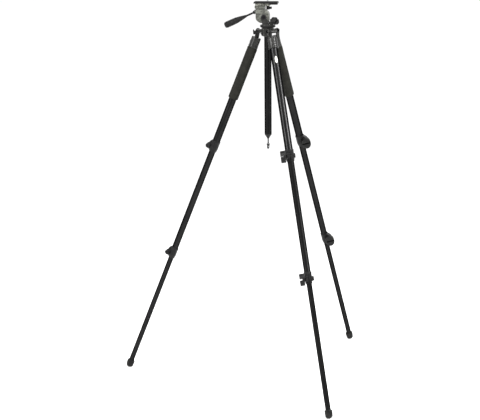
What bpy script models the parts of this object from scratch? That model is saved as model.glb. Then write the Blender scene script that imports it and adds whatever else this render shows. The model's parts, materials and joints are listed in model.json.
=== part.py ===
"""A camera tripod with three round telescoping legs, a sliding centre column and a two-way pan head.

+Z is up, the floor is Z = 0 and lengths are in metres. The left leg points along -X, the front leg
towards +X -Y and the rear leg towards +X +Y. Leg pieces are modelled once in a leg's own axes: its
pivot is the origin, +Z runs up the tube, +X points away from the column, +Y along the pivot bolt.
"""

from math import cos, pi, radians, sin, tau

import bmesh
import bpy
from mathutils import Matrix, Vector

# ---------------------------------------------------------------- driving dimensions

GAP = 0.0003                  # clear space between pieces that touch
ROUND = 20                    # sides of a tube
SMALL_ROUND = 12              # sides of a bolt or a knob

# legs
LEG_ANGLE = radians(21.7)     # leg from the vertical, resting on its first stop
PIVOT_RADIUS = 0.040          # pivot bolt from the column's axis
TUBE_INSET = 0.006            # tube axis inboard of the pivot
LEG_LENGTH = 1.4735           # pivot to the middle of the foot's ball
UPPER_CLAMP_DOWN = 0.494      # pivot to the upper clamp's screw
LOWER_CLAMP_DOWN = 0.966      # pivot to the lower clamp's screw
UPPER_TUBE_R = 0.0152
MIDDLE_TUBE_R = 0.0128
LOWER_TUBE_R = 0.0103
TUBE_WALL = 0.0013
TUBE_OVERLAP = 0.060          # length of each inner tube left inside at full reach
SWAGE = 0.0004                # how far an inner tube's top end is widened to run in the outer one
SWAGE_LENGTH = 0.012
BOLT_R = 0.0030
CHAMFER = 0.0010

# leg fitting
SLEEVE_WALL = 0.0040
SLEEVE_TOP = 0.025            # below the pivot
SLEEVE_LENGTH = 0.042
SLEEVE_ROOF = 0.005
EAR_OUTER = 0.0180            # the ear's outer face, measured along the bolt
EAR_THICK = 0.0050
EAR_BOSS_R = 0.0095
LEVER_THICK = 0.0038
LEVER_BOSS_R = 0.0080
BADGE_HEIGHT = 0.028
BADGE_THICK = 0.0006
BADGE_HALF_ANGLE = 24         # degrees round the tube
BADGE_DOWN = 0.047            # below the sleeve, to the badge's middle
BADGE_TURN = radians(-10)

# foam grip
FOAM_THICK = 0.0045
FOAM_LENGTH = 0.216

# clamps
CLAMP_TURN = {"left": radians(-20), "front": radians(-20), "rear": radians(-50)}    # lug from outboard
CLAMP_WALL = 0.0025           # collar wall round the outer tube
CLAMP_ABOVE = 0.028           # collar above and below the screw
CLAMP_BELOW = 0.017
LUG_REACH = 0.0110            # lug beyond the collar
LUG_HALF_WIDTH = 0.0130
LUG_HALF_HEIGHT = 0.0100
SEAT_ABOVE_SCREW = 0.004      # the outer tube ends this far above its clamp's screw
BOSS_PROUD = 0.001            # the knob's boss beyond the lug, at least
SLOT = 0.0016
SCREW_WALL = 0.0015           # metal between the tube's bore and the screw's hole
NUT_R = 0.0095
NUT_LENGTH = 0.0070
KNOB_SPAN = 0.0235            # half the knob's longer width
KNOB_SLIM = 0.75              # its shorter width over its longer one
KNOB_GROOVE = 0.0056
KNOB_GROOVE_DEPTH = 0.60      # of the knob's length
KNOB_LENGTH = 0.0185
KNOB_HUB = 0.0015              # the knob's hub behind its grip
KNOB_CLEAR = 0.0005            # the grip to the collar

# feet
FOOT_R = 0.0155
FOOT_FLAT = 0.0008            # how far the ball is worn flat where it stands
FOOT_LENGTH = 0.030
FOOT_SOCKET = 0.0030          # the lower tube ends this far above the ball's middle

# centre column
COLUMN_R = 0.0140
COLUMN_WALL = 0.0015
COLUMN_LENGTH = 0.4110
FLANGE_R = 0.0230
FLANGE_THICK = 0.0032
PLUG_LENGTH = 0.016
STUD_R = 0.0048               # stud that the head sits on
STUD_LENGTH = 0.0040
CAP_CONE = 0.018
HOOK_ROD_LENGTH = 0.020
HOOK_WIRE_R = 0.0022
HOOK_RING_R = 0.0080
HOOK_TURN = radians(75)       # the ring faces nearly along X
EYE_R = 0.0050                # the eye under the end cap, to the middle of its wire
EYE_WIRE_R = 0.0016

# shoulder
HUB_R = 0.0260
HUB_THICK = 0.0160
HUB_SLEEVE_R = 0.0170
HUB_SLEEVE_DROP = 0.0150
SHOULDER_ABOVE_ARM = 0.0025   # the hub's top above the arms
ARM_THICK = 0.0130
ARM_OUTER = 0.0170            # the arm's plain side, measured along the bolt
BOSS_R = 0.0075
BOSS_OUT = 0.0220
LOCK_DROP = 0.0065            # column lock below the hub's underside
LOCK_BOSS_END = 0.0270        # its boss ends this far from the column's axis
LOCK_BOSS_R = 0.0080
LOCK_KNOB_R = 0.0120
LOCK_KNOB_LENGTH = 0.020

# head, heights above the pan base's underside
PAN_R = 0.0300
PAN_BASE_THICK = 0.0060
PAN_PLATE_THICK = 0.0060
SPIGOT_R = 0.0100
SPIGOT_HEIGHT = 0.0020
CHEEK_GAP = 0.0330            # clear width between the two cheeks
CHEEK_THICK = 0.0070
CHEEK_R = 0.0110
CHEEK_BACK, CHEEK_FRONT = -0.0180, 0.0100
GROOVE_DROP = 0.0306          # floor of the groove between the cheeks, below the tilt axle
PAN_LOCK_Z = 0.0280
PAN_LOCK_END = 0.0335         # its boss ends this far from the column's axis
POST_OUT = 0.0235
POST_R = 0.0065
TILT_BACK = 0.0130            # tilt axle behind the column's axis
TILT_HEIGHT = 0.0410
AXLE_R = 0.0040
AXLE_HEAD_R = 0.0075
AXLE_HEAD_THICK = 0.0030
BODY_TOP = 0.0839             # top of the tilting body
BODY_CLEAR = 0.0005           # the drum to each cheek
BODY_WIDE_HALF = 0.0210
RECEIVER_BACK, RECEIVER_FRONT = -0.0330, 0.0225    # from the tilt axle
RECEIVER_WIDTH = 0.0460
RECEIVER_FLOOR = 0.0035
RAIL_HEIGHT = 0.0050
RAIL_WIDTH = 0.0050
PLATE_LENGTH = 0.0935
PLATE_THICK = 0.0045
PAD_THICK = 0.0022
PLATE_FRONT = 0.0410          # the plate's front end ahead of the column's axis
DOVETAIL_LEAN = 0.0020
DOVETAIL_DEEP = 0.0042        # the plate's foot
SCREW_R = 0.0032
SCREW_ABOVE = 0.0050
SCREW_HEAD_R = 0.0075
SCREW_HEAD_DEEP = 0.0030
PLATE_LOCK_X = 0.0143         # its pin ahead of the tilt axle
PLATE_LOCK_R = 0.0030
HANDLE_DROP = radians(24)     # handle below the horizontal
SOCKET_FACE = 0.0040          # the socket's face along the handle from its middle
COLLAR_LENGTH = 0.0075
HANDLE_ROD_R = 0.0036
HANDLE_ROD_LENGTH = 0.045
GRIP_LENGTH = 0.091
GRIP_R = 0.0128
PAN_KNOB_TURN = radians(-42)  # direction of the pan lock from the head's front

LEGS = {"left": pi, "front": -pi / 3, "rear": pi / 3}
COLUMN_LOCK_DIRECTION = 2 * pi / 3
BOSS_DIRECTION = -2 * pi / 3

# ---------------------------------------------------------------- worked out from them

FOOT_DROP = LEG_LENGTH * cos(LEG_ANGLE) + TUBE_INSET * sin(LEG_ANGLE)
PIVOT_Z = FOOT_DROP + FOOT_R - FOOT_FLAT
FOOT_CENTRE_RADIUS = PIVOT_RADIUS - TUBE_INSET * cos(LEG_ANGLE) + LEG_LENGTH * sin(LEG_ANGLE)
SLEEVE_R = UPPER_TUBE_R + GAP + SLEEVE_WALL
SLEEVE_BOTTOM = SLEEVE_TOP + SLEEVE_LENGTH
UPPER_TUBE_TOP = SLEEVE_TOP + SLEEVE_ROOF + GAP
SHOULDER_TOP = PIVOT_Z + ARM_THICK / 2 + SHOULDER_ABOVE_ARM
HUB_BOTTOM = SHOULDER_TOP - HUB_THICK
PAN_Z = SHOULDER_TOP + GAP + FLANGE_THICK + GAP
COLUMN_TOP = SHOULDER_TOP
COLUMN_BOTTOM = COLUMN_TOP - COLUMN_LENGTH
LOCK_Z = HUB_BOTTOM - LOCK_DROP

# the column stands behind the middle of the box that holds the three feet
COLUMN_X = (FOOT_CENTRE_RADIUS - FOOT_CENTRE_RADIUS * cos(pi / 3)) / 2

# ---------------------------------------------------------------- modelling helpers


def arc(centre, radius, start, end, steps):
    """Points on a circle, from one angle to another, both in degrees."""
    angles = [radians(start + (end - start) * i / steps) for i in range(steps + 1)]
    return [(centre[0] + radius * cos(a), centre[1] + radius * sin(a)) for a in angles]


def mesh_from(bm, name):
    bmesh.ops.recalc_face_normals(bm, faces=bm.faces)
    mesh = bpy.data.meshes.new(name)
    bm.to_mesh(mesh)
    bm.free()
    return mesh


def turned(profile, sides=ROUND, name="turned"):
    """A profile of (radius, height) points spun about Z. One that starts and ends on the axis stays open."""
    bm = bmesh.new()
    points = [bm.verts.new((radius, 0, height)) for radius, height in profile]
    pairs = list(zip(points, points[1:]))
    if profile[0][0] > 0 or profile[-1][0] > 0:
        pairs.append((points[-1], points[0]))
    edges = [bm.edges.new(pair) for pair in pairs]
    bmesh.ops.spin(bm, geom=points + edges, cent=(0, 0, 0), axis=(0, 0, 1), angle=tau, steps=sides,
                   use_merge=True)
    bmesh.ops.remove_doubles(bm, verts=bm.verts, dist=1e-6)
    return mesh_from(bm, name)


def rod(start, end, radius, sides=SMALL_ROUND):
    """A solid cylinder from one point to another."""
    start = Vector(start)
    along = Vector(end) - start
    mesh = turned([(0, 0), (radius, 0), (radius, along.length), (0, along.length)], sides)
    mesh.transform(Matrix.Translation(start) @ along.to_track_quat("Z", "Y").to_matrix().to_4x4())
    return mesh


PLANES = {
    "X": lambda u, v, depth: (depth, u, v),
    "Y": lambda u, v, depth: (u, depth, v),
    "Z": lambda u, v, depth: (u, v, depth),
}


def extruded(outline, axis, low, high):
    """An outline drawn across one axis and drawn out along it, from low to high."""
    bm = bmesh.new()
    face = bm.faces.new([bm.verts.new(PLANES[axis](u, v, low)) for u, v in outline])
    made = bmesh.ops.extrude_face_region(bm, geom=[face])
    far = [item for item in made["geom"] if isinstance(item, bmesh.types.BMVert)]
    bmesh.ops.translate(bm, verts=far, vec=PLANES[axis](0, 0, high - low))
    return mesh_from(bm, "extruded")


def block(low, high):
    return extruded([(low[0], low[1]), (high[0], low[1]), (high[0], high[1]), (low[0], high[1])],
                    "Z", low[2], high[2])


def moved(mesh, matrix):
    mesh.transform(matrix)
    return mesh


def softened(mesh, width, segments=1):
    """Bevels the edges where an extrusion's flat ends meet its sides."""
    bm = bmesh.new()
    bm.from_mesh(mesh)
    sharp = [e for e in bm.edges if len(e.link_faces) == 2 and e.calc_face_angle() > radians(50)]
    bmesh.ops.bevel(bm, geom=sharp, offset=width, segments=segments, affect="EDGES",
                    clamp_overlap=True)
    bmesh.ops.remove_doubles(bm, verts=bm.verts, dist=1e-6)
    return mesh_from(bm, "softened")


def work_object(mesh):
    obj = bpy.data.objects.new("work", mesh)
    bpy.context.scene.collection.objects.link(obj)
    return obj


def combined(mesh, added=(), cut=(), within=(), solver="EXACT"):
    """The mesh with other meshes joined to it, others cut away and only what lies within others kept."""
    body = work_object(mesh)
    tools = [(work_object(tool), "UNION") for tool in added]
    tools += [(work_object(tool), "DIFFERENCE") for tool in cut]
    tools += [(work_object(tool), "INTERSECT") for tool in within]
    for tool, operation in tools:
        modifier = body.modifiers.new(operation, "BOOLEAN")
        modifier.object = tool
        modifier.operation = operation
        modifier.solver = solver
    evaluated = body.evaluated_get(bpy.context.evaluated_depsgraph_get())
    result = bpy.data.meshes.new_from_object(evaluated)
    for obj in [body] + [tool for tool, _ in tools]:
        bpy.data.objects.remove(obj)
    return result


def finish(name, colour, roughness, metallic):
    made = bpy.data.materials.new(name)
    made.use_nodes = True
    shader = made.node_tree.nodes["Principled BSDF"]
    shader.inputs["Base Color"].default_value = (*colour, 1)
    shader.inputs["Roughness"].default_value = roughness
    shader.inputs["Metallic"].default_value = metallic
    made.diffuse_color = (*colour, 1)
    return made


def place(name, mesh, material, parent=None, origin=(0, 0, 0)):
    """Makes the named object. Its origin is where its joint's axis runs."""
    own = mesh.copy()
    own.name = name
    own.transform(Matrix.Translation(-Vector(origin)))
    own.materials.clear()
    own.materials.append(material)
    own.shade_smooth()
    own.set_sharp_from_angle(angle=radians(35))
    obj = bpy.data.objects.new(name, own)
    bpy.context.scene.collection.objects.link(obj)
    obj.parent = parent
    obj.location = origin
    return obj


def axis_empty(name, location, rotation=(0, 0, 0), parent=None):
    empty = bpy.data.objects.new(name, None)
    empty.empty_display_size = 0.02
    bpy.context.scene.collection.objects.link(empty)
    empty.location = location
    empty.rotation_euler = rotation
    empty.parent = parent
    return empty


# ---------------------------------------------------------------- leg pieces, in a leg's own axes

TUBE_AXIS = Matrix.Translation((-TUBE_INSET, 0, 0))
LEVER_OUTER = EAR_OUTER - EAR_THICK - GAP
LEVER_INNER = LEVER_OUTER - LEVER_THICK
ARM_INNER = LEVER_INNER - GAP


def leg_fitting():
    """The casting at the top of a leg: a sleeve over the tube and one ear beside the shoulder's arm."""
    bore = UPPER_TUBE_R + GAP
    roof = -SLEEVE_TOP - SLEEVE_ROOF
    sleeve = moved(turned([(0, roof), (bore, roof), (bore, -SLEEVE_BOTTOM),
                           (SLEEVE_R - CHAMFER, -SLEEVE_BOTTOM), (SLEEVE_R, -SLEEVE_BOTTOM + CHAMFER),
                           (SLEEVE_R, -SLEEVE_TOP - CHAMFER), (SLEEVE_R - CHAMFER, -SLEEVE_TOP),
                           (0, -SLEEVE_TOP)]), TUBE_AXIS)
    foot_z = -SLEEVE_TOP - 0.6 * SLEEVE_LENGTH
    outline = arc((0, 0), EAR_BOSS_R, -15, 195, 10)
    outline += [(-0.0125, -SLEEVE_TOP + 0.004), (-0.0110, foot_z), (-0.0010, foot_z),
                (0.0040, -SLEEVE_TOP + 0.002)]
    ear = extruded(outline, "Y", -EAR_OUTER, -EAR_OUTER + EAR_THICK)
    # the sleeve is solid where the ear meets it, and its bore is cleared again afterwards
    cleared = moved(rod((0, 0, roof), (0, 0, -SLEEVE_BOTTOM - 0.001), bore, ROUND), TUBE_AXIS)
    hole = rod((0, -EAR_OUTER - 0.01, 0), (0, 0.01, 0), BOLT_R + GAP)
    return combined(sleeve, [ear], [cleared, hole])


def pivot_bolt():
    head, thick = 0.0062, 0.0030
    low, high = -EAR_OUTER - GAP, ARM_OUTER + GAP
    mesh = turned([(0, low - thick), (head - 0.001, low - thick), (head, low - thick + 0.001), (head, low),
                   (BOLT_R, low), (BOLT_R, high), (head, high), (head, high + thick - 0.001),
                   (head - 0.001, high + thick), (0, high + thick)], SMALL_ROUND)
    return moved(mesh, Matrix.Rotation(-pi / 2, 4, "X"))


def angle_lever():
    """The pawl that holds the leg at its spread: a boss on the bolt and a thumb tab outboard."""
    outline = arc((0, 0), LEVER_BOSS_R, 60, 285, 9)
    outline += [(0.0060, -0.0190), (0.0115, -0.0205), (0.0150, -0.0120), (0.0192, -0.0040),
                (0.0176, -0.0018), (0.0120, -0.0062), (0.0078, -0.0010)]
    plate = extruded(outline, "Y", -LEVER_OUTER, -LEVER_INNER)
    return combined(plate, cut=[rod((0, -0.03, 0), (0, 0, 0), BOLT_R + GAP)])


def tube(outer, top, bottom, swaged):
    """A tube along the leg, with its top end widened where it runs inside another."""
    inner = outer - TUBE_WALL
    profile = [(inner, -bottom), (outer, -bottom), (outer, -top)]
    if swaged:
        wide = outer + SWAGE
        profile[2:] = [(outer, -top - SWAGE_LENGTH), (wide, -top - SWAGE_LENGTH + 0.001), (wide, -top)]
    profile.append((inner, -top))
    return moved(turned(profile), TUBE_AXIS)


def foam_grip():
    """A sleeve of foam with its ends cut square and their edges worn."""
    bore, top = UPPER_TUBE_R + GAP, -SLEEVE_BOTTOM - GAP
    bottom = top - FOAM_LENGTH
    outer, worn = bore + FOAM_THICK, 0.0020
    profile = [(bore, top), (outer - worn, top), (outer, top - worn), (outer, bottom + worn),
               (outer - worn, bottom), (bore, bottom)]
    return moved(turned(profile), TUBE_AXIS)


def clamp_frame(down, turn):
    """From a clamp's own axes, on its tube's axis at the screw's height, to the leg's."""
    return Matrix.Translation((-TUBE_INSET, 0, -down)) @ Matrix.Rotation(turn, 4, "Z")


def screw_out(outer):
    return outer + GAP + SCREW_WALL + BOLT_R + GAP


def boss_end(outer):
    """How far out the knob's boss ends: beyond the lug, and far enough for the grip to clear the collar."""
    return max(LUG_HALF_WIDTH + BOSS_PROUD, outer + CLAMP_WALL + KNOB_CLEAR - KNOB_HUB - GAP)


def leg_clamp(outer, inner):
    """A split collar that grips the inner tube, with a lug for its screw, in the clamp's own axes."""
    collar, skirt = outer + CLAMP_WALL, inner + 0.0022
    top, bottom = CLAMP_ABOVE, -CLAMP_BELOW
    body = turned([(0, bottom), (skirt, bottom), (collar, -0.004), (collar, top - CHAMFER),
                   (collar - CHAMFER, top), (0, top)])
    reach = collar + LUG_REACH
    half = LUG_HALF_HEIGHT
    lug = extruded([(outer - 0.002, -half - 0.001), (reach - 0.001, -half - 0.001), (reach, -half),
                    (reach, half - 0.002), (reach - 0.002, half), (outer - 0.002, top - 0.003)],
                   "Y", -LUG_HALF_WIDTH, LUG_HALF_WIDTH)
    x = screw_out(outer)
    nut_end = LUG_HALF_WIDTH + NUT_LENGTH
    nut = rod((x, LUG_HALF_WIDTH - 0.003, 0), (x, nut_end, 0), NUT_R)
    boss = rod((x, -LUG_HALF_WIDTH + 0.003, 0), (x, -boss_end(outer), 0), 0.0066)
    seat = SEAT_ABOVE_SCREW
    cuts = [rod((0, 0, seat), (0, 0, top + 0.001), outer + GAP, ROUND),
            rod((0, 0, bottom - 0.001), (0, 0, seat + 0.001), inner + GAP, ROUND),
            rod((x, -0.05, 0), (x, 0.05, 0), BOLT_R + GAP),
            block((inner - 0.002, -SLOT / 2, bottom - 0.001), (reach + 0.001, SLOT / 2, 0.013))]
    return combined(body, [lug, nut, boss], cuts, solver="MANIFOLD")


def grooved_knob(start, shank, span, length):
    """An oval knob about its own Y axis, with a groove for the fingers across its end. Its screw runs
    from shank down to start and the knob lies beyond."""
    root = start - KNOB_HUB
    tip = root - length
    outline = [(KNOB_SLIM * span * cos(tau * i / 18), span * sin(tau * i / 18)) for i in range(18)]
    oval = softened(extruded(outline, "Y", tip, root), 0.0016)
    hub = rod((0, start, 0), (0, root - 0.002, 0), 0.0066)
    screw = rod((0, shank, 0), (0, root - 0.002, 0), BOLT_R)
    half = KNOB_GROOVE / 2
    groove = extruded([(-0.03, -half), (0.03, -half), (0.03, half), (-0.03, half)], "Y",
                      tip - 0.001, tip + KNOB_GROOVE_DEPTH * length)
    return combined(oval, [hub, screw], [groove])


def clamp_knob(outer):
    start = -boss_end(outer) - GAP
    return grooved_knob(start, LUG_HALF_WIDTH + NUT_LENGTH - 0.001, KNOB_SPAN, KNOB_LENGTH)


def foot():
    """The rubber foot: a socket on the tube and a ball, flat where it stands on the floor."""
    bore = LOWER_TUBE_R + GAP
    floor = -LEG_LENGTH + FOOT_SOCKET
    top = -LEG_LENGTH + FOOT_LENGTH - 0.0125
    profile = [(0, floor), (bore, floor), (bore, top), (bore + 0.0022, top),
               (FOOT_R - 0.0008, top - 0.0028), (FOOT_R, top - 0.0075)]
    profile += arc((0, -LEG_LENGTH), FOOT_R, 0, -90, 5)
    profile[-1] = (0, -LEG_LENGTH - FOOT_R)
    mesh = moved(turned(profile), TUBE_AXIS)
    bm = bmesh.new()
    bm.from_mesh(mesh)
    up = Vector((sin(LEG_ANGLE), 0, cos(LEG_ANGLE)))
    cut = bmesh.ops.bisect_plane(bm, geom=bm.verts[:] + bm.edges[:] + bm.faces[:], plane_co=-up * PIVOT_Z,
                                 plane_no=up, clear_inner=True)
    rim = [item for item in cut["geom_cut"] if isinstance(item, bmesh.types.BMEdge)]
    bmesh.ops.contextual_create(bm, geom=rim)
    return mesh_from(bm, "foot")


def badge():
    """A plain oval plate, bent round the front of its tube."""
    low, high = UPPER_TUBE_R + GAP, UPPER_TUBE_R + GAP + BADGE_THICK
    middle = -SLEEVE_BOTTOM - BADGE_DOWN
    bent = arc((0, 0), low, -BADGE_HALF_ANGLE, BADGE_HALF_ANGLE, 6)
    bent += arc((0, 0), high, BADGE_HALF_ANGLE, -BADGE_HALF_ANGLE, 6)
    shell = extruded(bent, "Z", middle - BADGE_HEIGHT / 2, middle + BADGE_HEIGHT / 2)
    half_width = UPPER_TUBE_R * sin(radians(BADGE_HALF_ANGLE)) - 0.0002
    half_height = BADGE_HEIGHT / 2 - 0.0002
    oval = [(half_width * cos(tau * i / 16), middle + half_height * sin(tau * i / 16)) for i in range(16)]
    shape = combined(shell, within=[extruded(oval, "X", 0.005, 0.02)])
    return moved(shape, TUBE_AXIS @ Matrix.Rotation(BADGE_TURN, 4, "Z"))


# ---------------------------------------------------------------- shoulder and column

PLUG_R = COLUMN_R - COLUMN_WALL - GAP
ROD_BOTTOM = COLUMN_BOTTOM - GAP - CAP_CONE - HOOK_ROD_LENGTH
EYE_Z = ROD_BOTTOM - EYE_R
RING_Z = EYE_Z - HOOK_RING_R


def spider():
    """The shoulder casting: a hub round the column with three arms, one for each leg."""
    bore = COLUMN_R + GAP
    low = HUB_BOTTOM - HUB_SLEEVE_DROP
    hub = turned([(0, low), (HUB_SLEEVE_R - CHAMFER, low), (HUB_SLEEVE_R, low + CHAMFER),
                  (HUB_SLEEVE_R, HUB_BOTTOM), (HUB_R - CHAMFER, HUB_BOTTOM), (HUB_R, HUB_BOTTOM + CHAMFER),
                  (HUB_R, SHOULDER_TOP - CHAMFER), (HUB_R - CHAMFER, SHOULDER_TOP), (0, SHOULDER_TOP)], 30)
    added, cuts = [], [rod((0, 0, low - 0.001), (0, 0, SHOULDER_TOP + 0.001), bore, ROUND)]
    half = ARM_THICK / 2
    outline = [(0.018, PIVOT_Z - half), (PIVOT_RADIUS, PIVOT_Z - half)]
    outline += arc((PIVOT_RADIUS, PIVOT_Z), half, -75, 75, 8)
    outline += [(PIVOT_RADIUS, PIVOT_Z + half), (0.018, PIVOT_Z + half)]
    for direction in LEGS.values():
        turn = Matrix.Rotation(direction, 4, "Z")
        added.append(moved(extruded(outline, "Y", -ARM_INNER, ARM_OUTER), turn))
        hole = rod((PIVOT_RADIUS, -0.03, PIVOT_Z), (PIVOT_RADIUS, 0.03, PIVOT_Z), BOLT_R + GAP)
        cuts.append(moved(hole, turn))
    boss = rod((BOSS_OUT, 0, HUB_BOTTOM - 0.002), (BOSS_OUT, 0, SHOULDER_TOP - CHAMFER), BOSS_R)
    added.append(moved(boss, Matrix.Rotation(BOSS_DIRECTION, 4, "Z")))
    turn = Matrix.Rotation(COLUMN_LOCK_DIRECTION, 4, "Z")
    added.append(moved(rod((0.010, 0, LOCK_Z), (LOCK_BOSS_END, 0, LOCK_Z), LOCK_BOSS_R), turn))
    cuts.append(moved(rod((0.005, 0, LOCK_Z), (0.040, 0, LOCK_Z), BOLT_R + GAP), turn))
    return combined(hub, added, cuts)


def column_lock_knob():
    """A lobed knob on a screw, about the screw's axis along +X."""
    start = LOCK_BOSS_END + GAP
    end = start + LOCK_KNOB_LENGTH
    shank = COLUMN_R + 0.0010
    outline = []
    for i in range(30):
        angle = tau * i / 30
        reach = LOCK_KNOB_R - 0.0012 + 0.0012 * cos(5 * angle)
        outline.append((reach * cos(angle), reach * sin(angle)))
    grip = softened(extruded(outline, "X", start + 0.004, end), 0.0012)
    neck = rod((start, 0, 0), (start + 0.006, 0, 0), 0.0070)
    screw = rod((shank, 0, 0), (start + 0.002, 0, 0), BOLT_R)
    return combined(grip, [neck, screw])


def centre_column():
    inner = COLUMN_R - COLUMN_WALL
    return turned([(inner, COLUMN_BOTTOM), (COLUMN_R, COLUMN_BOTTOM),
                   (COLUMN_R, COLUMN_TOP), (inner, COLUMN_TOP)])


def column_flange():
    """The disc on top of the column: a plug into the tube below and a stud for the head above."""
    low = SHOULDER_TOP + GAP
    top = low + FLANGE_THICK
    return turned([(0, low - PLUG_LENGTH), (PLUG_R - CHAMFER, low - PLUG_LENGTH),
                   (PLUG_R, low - PLUG_LENGTH + CHAMFER), (PLUG_R, low), (FLANGE_R, low),
                   (FLANGE_R, top), (STUD_R, top), (STUD_R, top + STUD_LENGTH), (0, top + STUD_LENGTH)])


def ring(radius, wire, sides, wire_sides):
    bm = bmesh.new()
    loop = [bm.verts.new((radius + wire * cos(tau * i / wire_sides), 0, wire * sin(tau * i / wire_sides)))
            for i in range(wire_sides)]
    edges = [bm.edges.new(pair) for pair in zip(loop, loop[1:] + loop[:1])]
    bmesh.ops.spin(bm, geom=loop + edges, cent=(0, 0, 0), axis=(0, 0, 1), angle=tau, steps=sides,
                   use_merge=True)
    bmesh.ops.remove_doubles(bm, verts=bm.verts, dist=1e-6)
    return mesh_from(bm, "ring")


def column_end_cap():
    """A plug in the column's lower end, tapering to a rod with an eye for the hook."""
    rim = COLUMN_BOTTOM - GAP
    cone = rim - CAP_CONE
    plug = COLUMN_BOTTOM + 0.010
    body = turned([(0, plug), (PLUG_R, plug), (PLUG_R, rim), (COLUMN_R, rim), (COLUMN_R, rim - 0.003),
                   (0.0050, cone), (0.0026, cone - 0.002), (0.0026, ROD_BOTTOM), (0, ROD_BOTTOM)])
    eye = moved(ring(EYE_R, EYE_WIRE_R, 12, 6), Matrix.Translation((0, 0, EYE_Z))
                @ Matrix.Rotation(HOOK_TURN, 4, "Z") @ Matrix.Rotation(pi / 2, 4, "Y"))
    return combined(body, [eye])


def column_hook():
    """A ring hanging in the eye."""
    return moved(ring(HOOK_RING_R, HOOK_WIRE_R, 20, 8),
                 Matrix.Translation((0, 0, RING_Z)) @ Matrix.Rotation(HOOK_TURN, 4, "Z")
                 @ Matrix.Rotation(pi / 2, 4, "X"))


# ---------------------------------------------------------------- head, from the pan base up

HOUSING_LOW = PAN_BASE_THICK + GAP
HOUSING_TOP = HOUSING_LOW + PAN_PLATE_THICK


def pan_base():
    outer, top = PAN_R, PAN_BASE_THICK
    return turned([(0, STUD_LENGTH + 0.0005), (STUD_R + GAP, STUD_LENGTH + 0.0005), (STUD_R + GAP, 0),
                   (FLANGE_R - 0.001, 0), (outer - 0.004, 0), (outer, 0.003), (outer, top),
                   (SPIGOT_R, top), (SPIGOT_R, top + SPIGOT_HEIGHT), (0, top + SPIGOT_HEIGHT)], 30)


def pan_housing():
    """The turning half of the head: a disc, two cheeks for the tilt axle and a post for the pan lock."""
    recess = SPIGOT_HEIGHT + GAP
    disc = turned([(0, HOUSING_LOW + recess), (SPIGOT_R + GAP, HOUSING_LOW + recess),
                   (SPIGOT_R + GAP, HOUSING_LOW), (PAN_R, HOUSING_LOW), (PAN_R, HOUSING_TOP - 0.0015),
                   (PAN_R - 0.0015, HOUSING_TOP), (0, HOUSING_TOP)], 30)
    low = HOUSING_TOP - 0.0008
    outline = [(CHEEK_BACK, low), (CHEEK_FRONT, low)]
    outline += arc((-TILT_BACK, TILT_HEIGHT), CHEEK_R, -15, 190, 12)
    inner = CHEEK_GAP / 2
    added = [extruded(outline, "Y", side * inner, side * (inner + CHEEK_THICK)) for side in (-1, 1)]
    turn = Matrix.Rotation(PAN_KNOB_TURN, 4, "Z")
    post = rod((POST_OUT, 0, HOUSING_TOP - 0.001), (POST_OUT, 0, PAN_LOCK_Z + 0.006), POST_R)
    boss = rod((POST_OUT, 0, PAN_LOCK_Z), (PAN_LOCK_END, 0, PAN_LOCK_Z), 0.0060)
    added += [moved(post, turn), moved(boss, turn)]
    floor = TILT_HEIGHT - GROOVE_DROP
    cuts = [block((-0.04, -inner, floor), (CHEEK_FRONT + 0.001, inner, HOUSING_TOP + 0.001)),
            rod((-TILT_BACK, -0.04, TILT_HEIGHT), (-TILT_BACK, 0.04, TILT_HEIGHT), AXLE_R + GAP),
            moved(rod((0.0185, 0, PAN_LOCK_Z), (0.04, 0, PAN_LOCK_Z), BOLT_R + GAP), turn)]
    return combined(disc, added, cuts)


def pan_lock_knob():
    start = -PAN_LOCK_END - GAP
    knob = grooved_knob(start, -0.0200, 0.0165, 0.0170)
    facing = Matrix.Rotation(PAN_KNOB_TURN + pi / 2, 4, "Z") @ Matrix.Rotation(-pi / 4, 4, "Y")
    return moved(knob, Matrix.Translation((0, 0, PAN_LOCK_Z)) @ facing)


def tilt_axle():
    """The axle through both cheeks and the tilting body, about its own Y axis."""
    face = CHEEK_GAP / 2 + CHEEK_THICK + GAP
    end = face + AXLE_HEAD_THICK
    edge = AXLE_HEAD_R - CHAMFER
    mesh = turned([(0, -end), (edge, -end), (AXLE_HEAD_R, -end + CHAMFER), (AXLE_HEAD_R, -face),
                   (AXLE_R, -face), (AXLE_R, face), (AXLE_HEAD_R, face), (AXLE_HEAD_R, end - CHAMFER),
                   (edge, end), (0, end)])
    return moved(mesh, Matrix.Rotation(-pi / 2, 4, "X"))


# the tilting pieces are drawn about the tilt axle
BODY_HALF = CHEEK_GAP / 2 - BODY_CLEAR
BODY_HIGH = BODY_TOP - TILT_HEIGHT
SOCKET = Vector((-0.0330, 0, 0.0197))
HANDLE_WAY = Vector((-cos(HANDLE_DROP), 0, -sin(HANDLE_DROP)))
RECEIVER_LOW = BODY_HIGH + GAP
FLOOR_TOP = RECEIVER_LOW + RECEIVER_FLOOR
RAIL_TOP = FLOOR_TOP + RAIL_HEIGHT
PLATE_LOW = RAIL_TOP + GAP
PLATE_TOP = PLATE_LOW + PLATE_THICK
PLATE_END = PLATE_FRONT + TILT_BACK
PLATE_BACK = PLATE_END - PLATE_LENGTH
SCREW_X = TILT_BACK
FOOT_LOW = RAIL_TOP - DOVETAIL_DEEP


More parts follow.
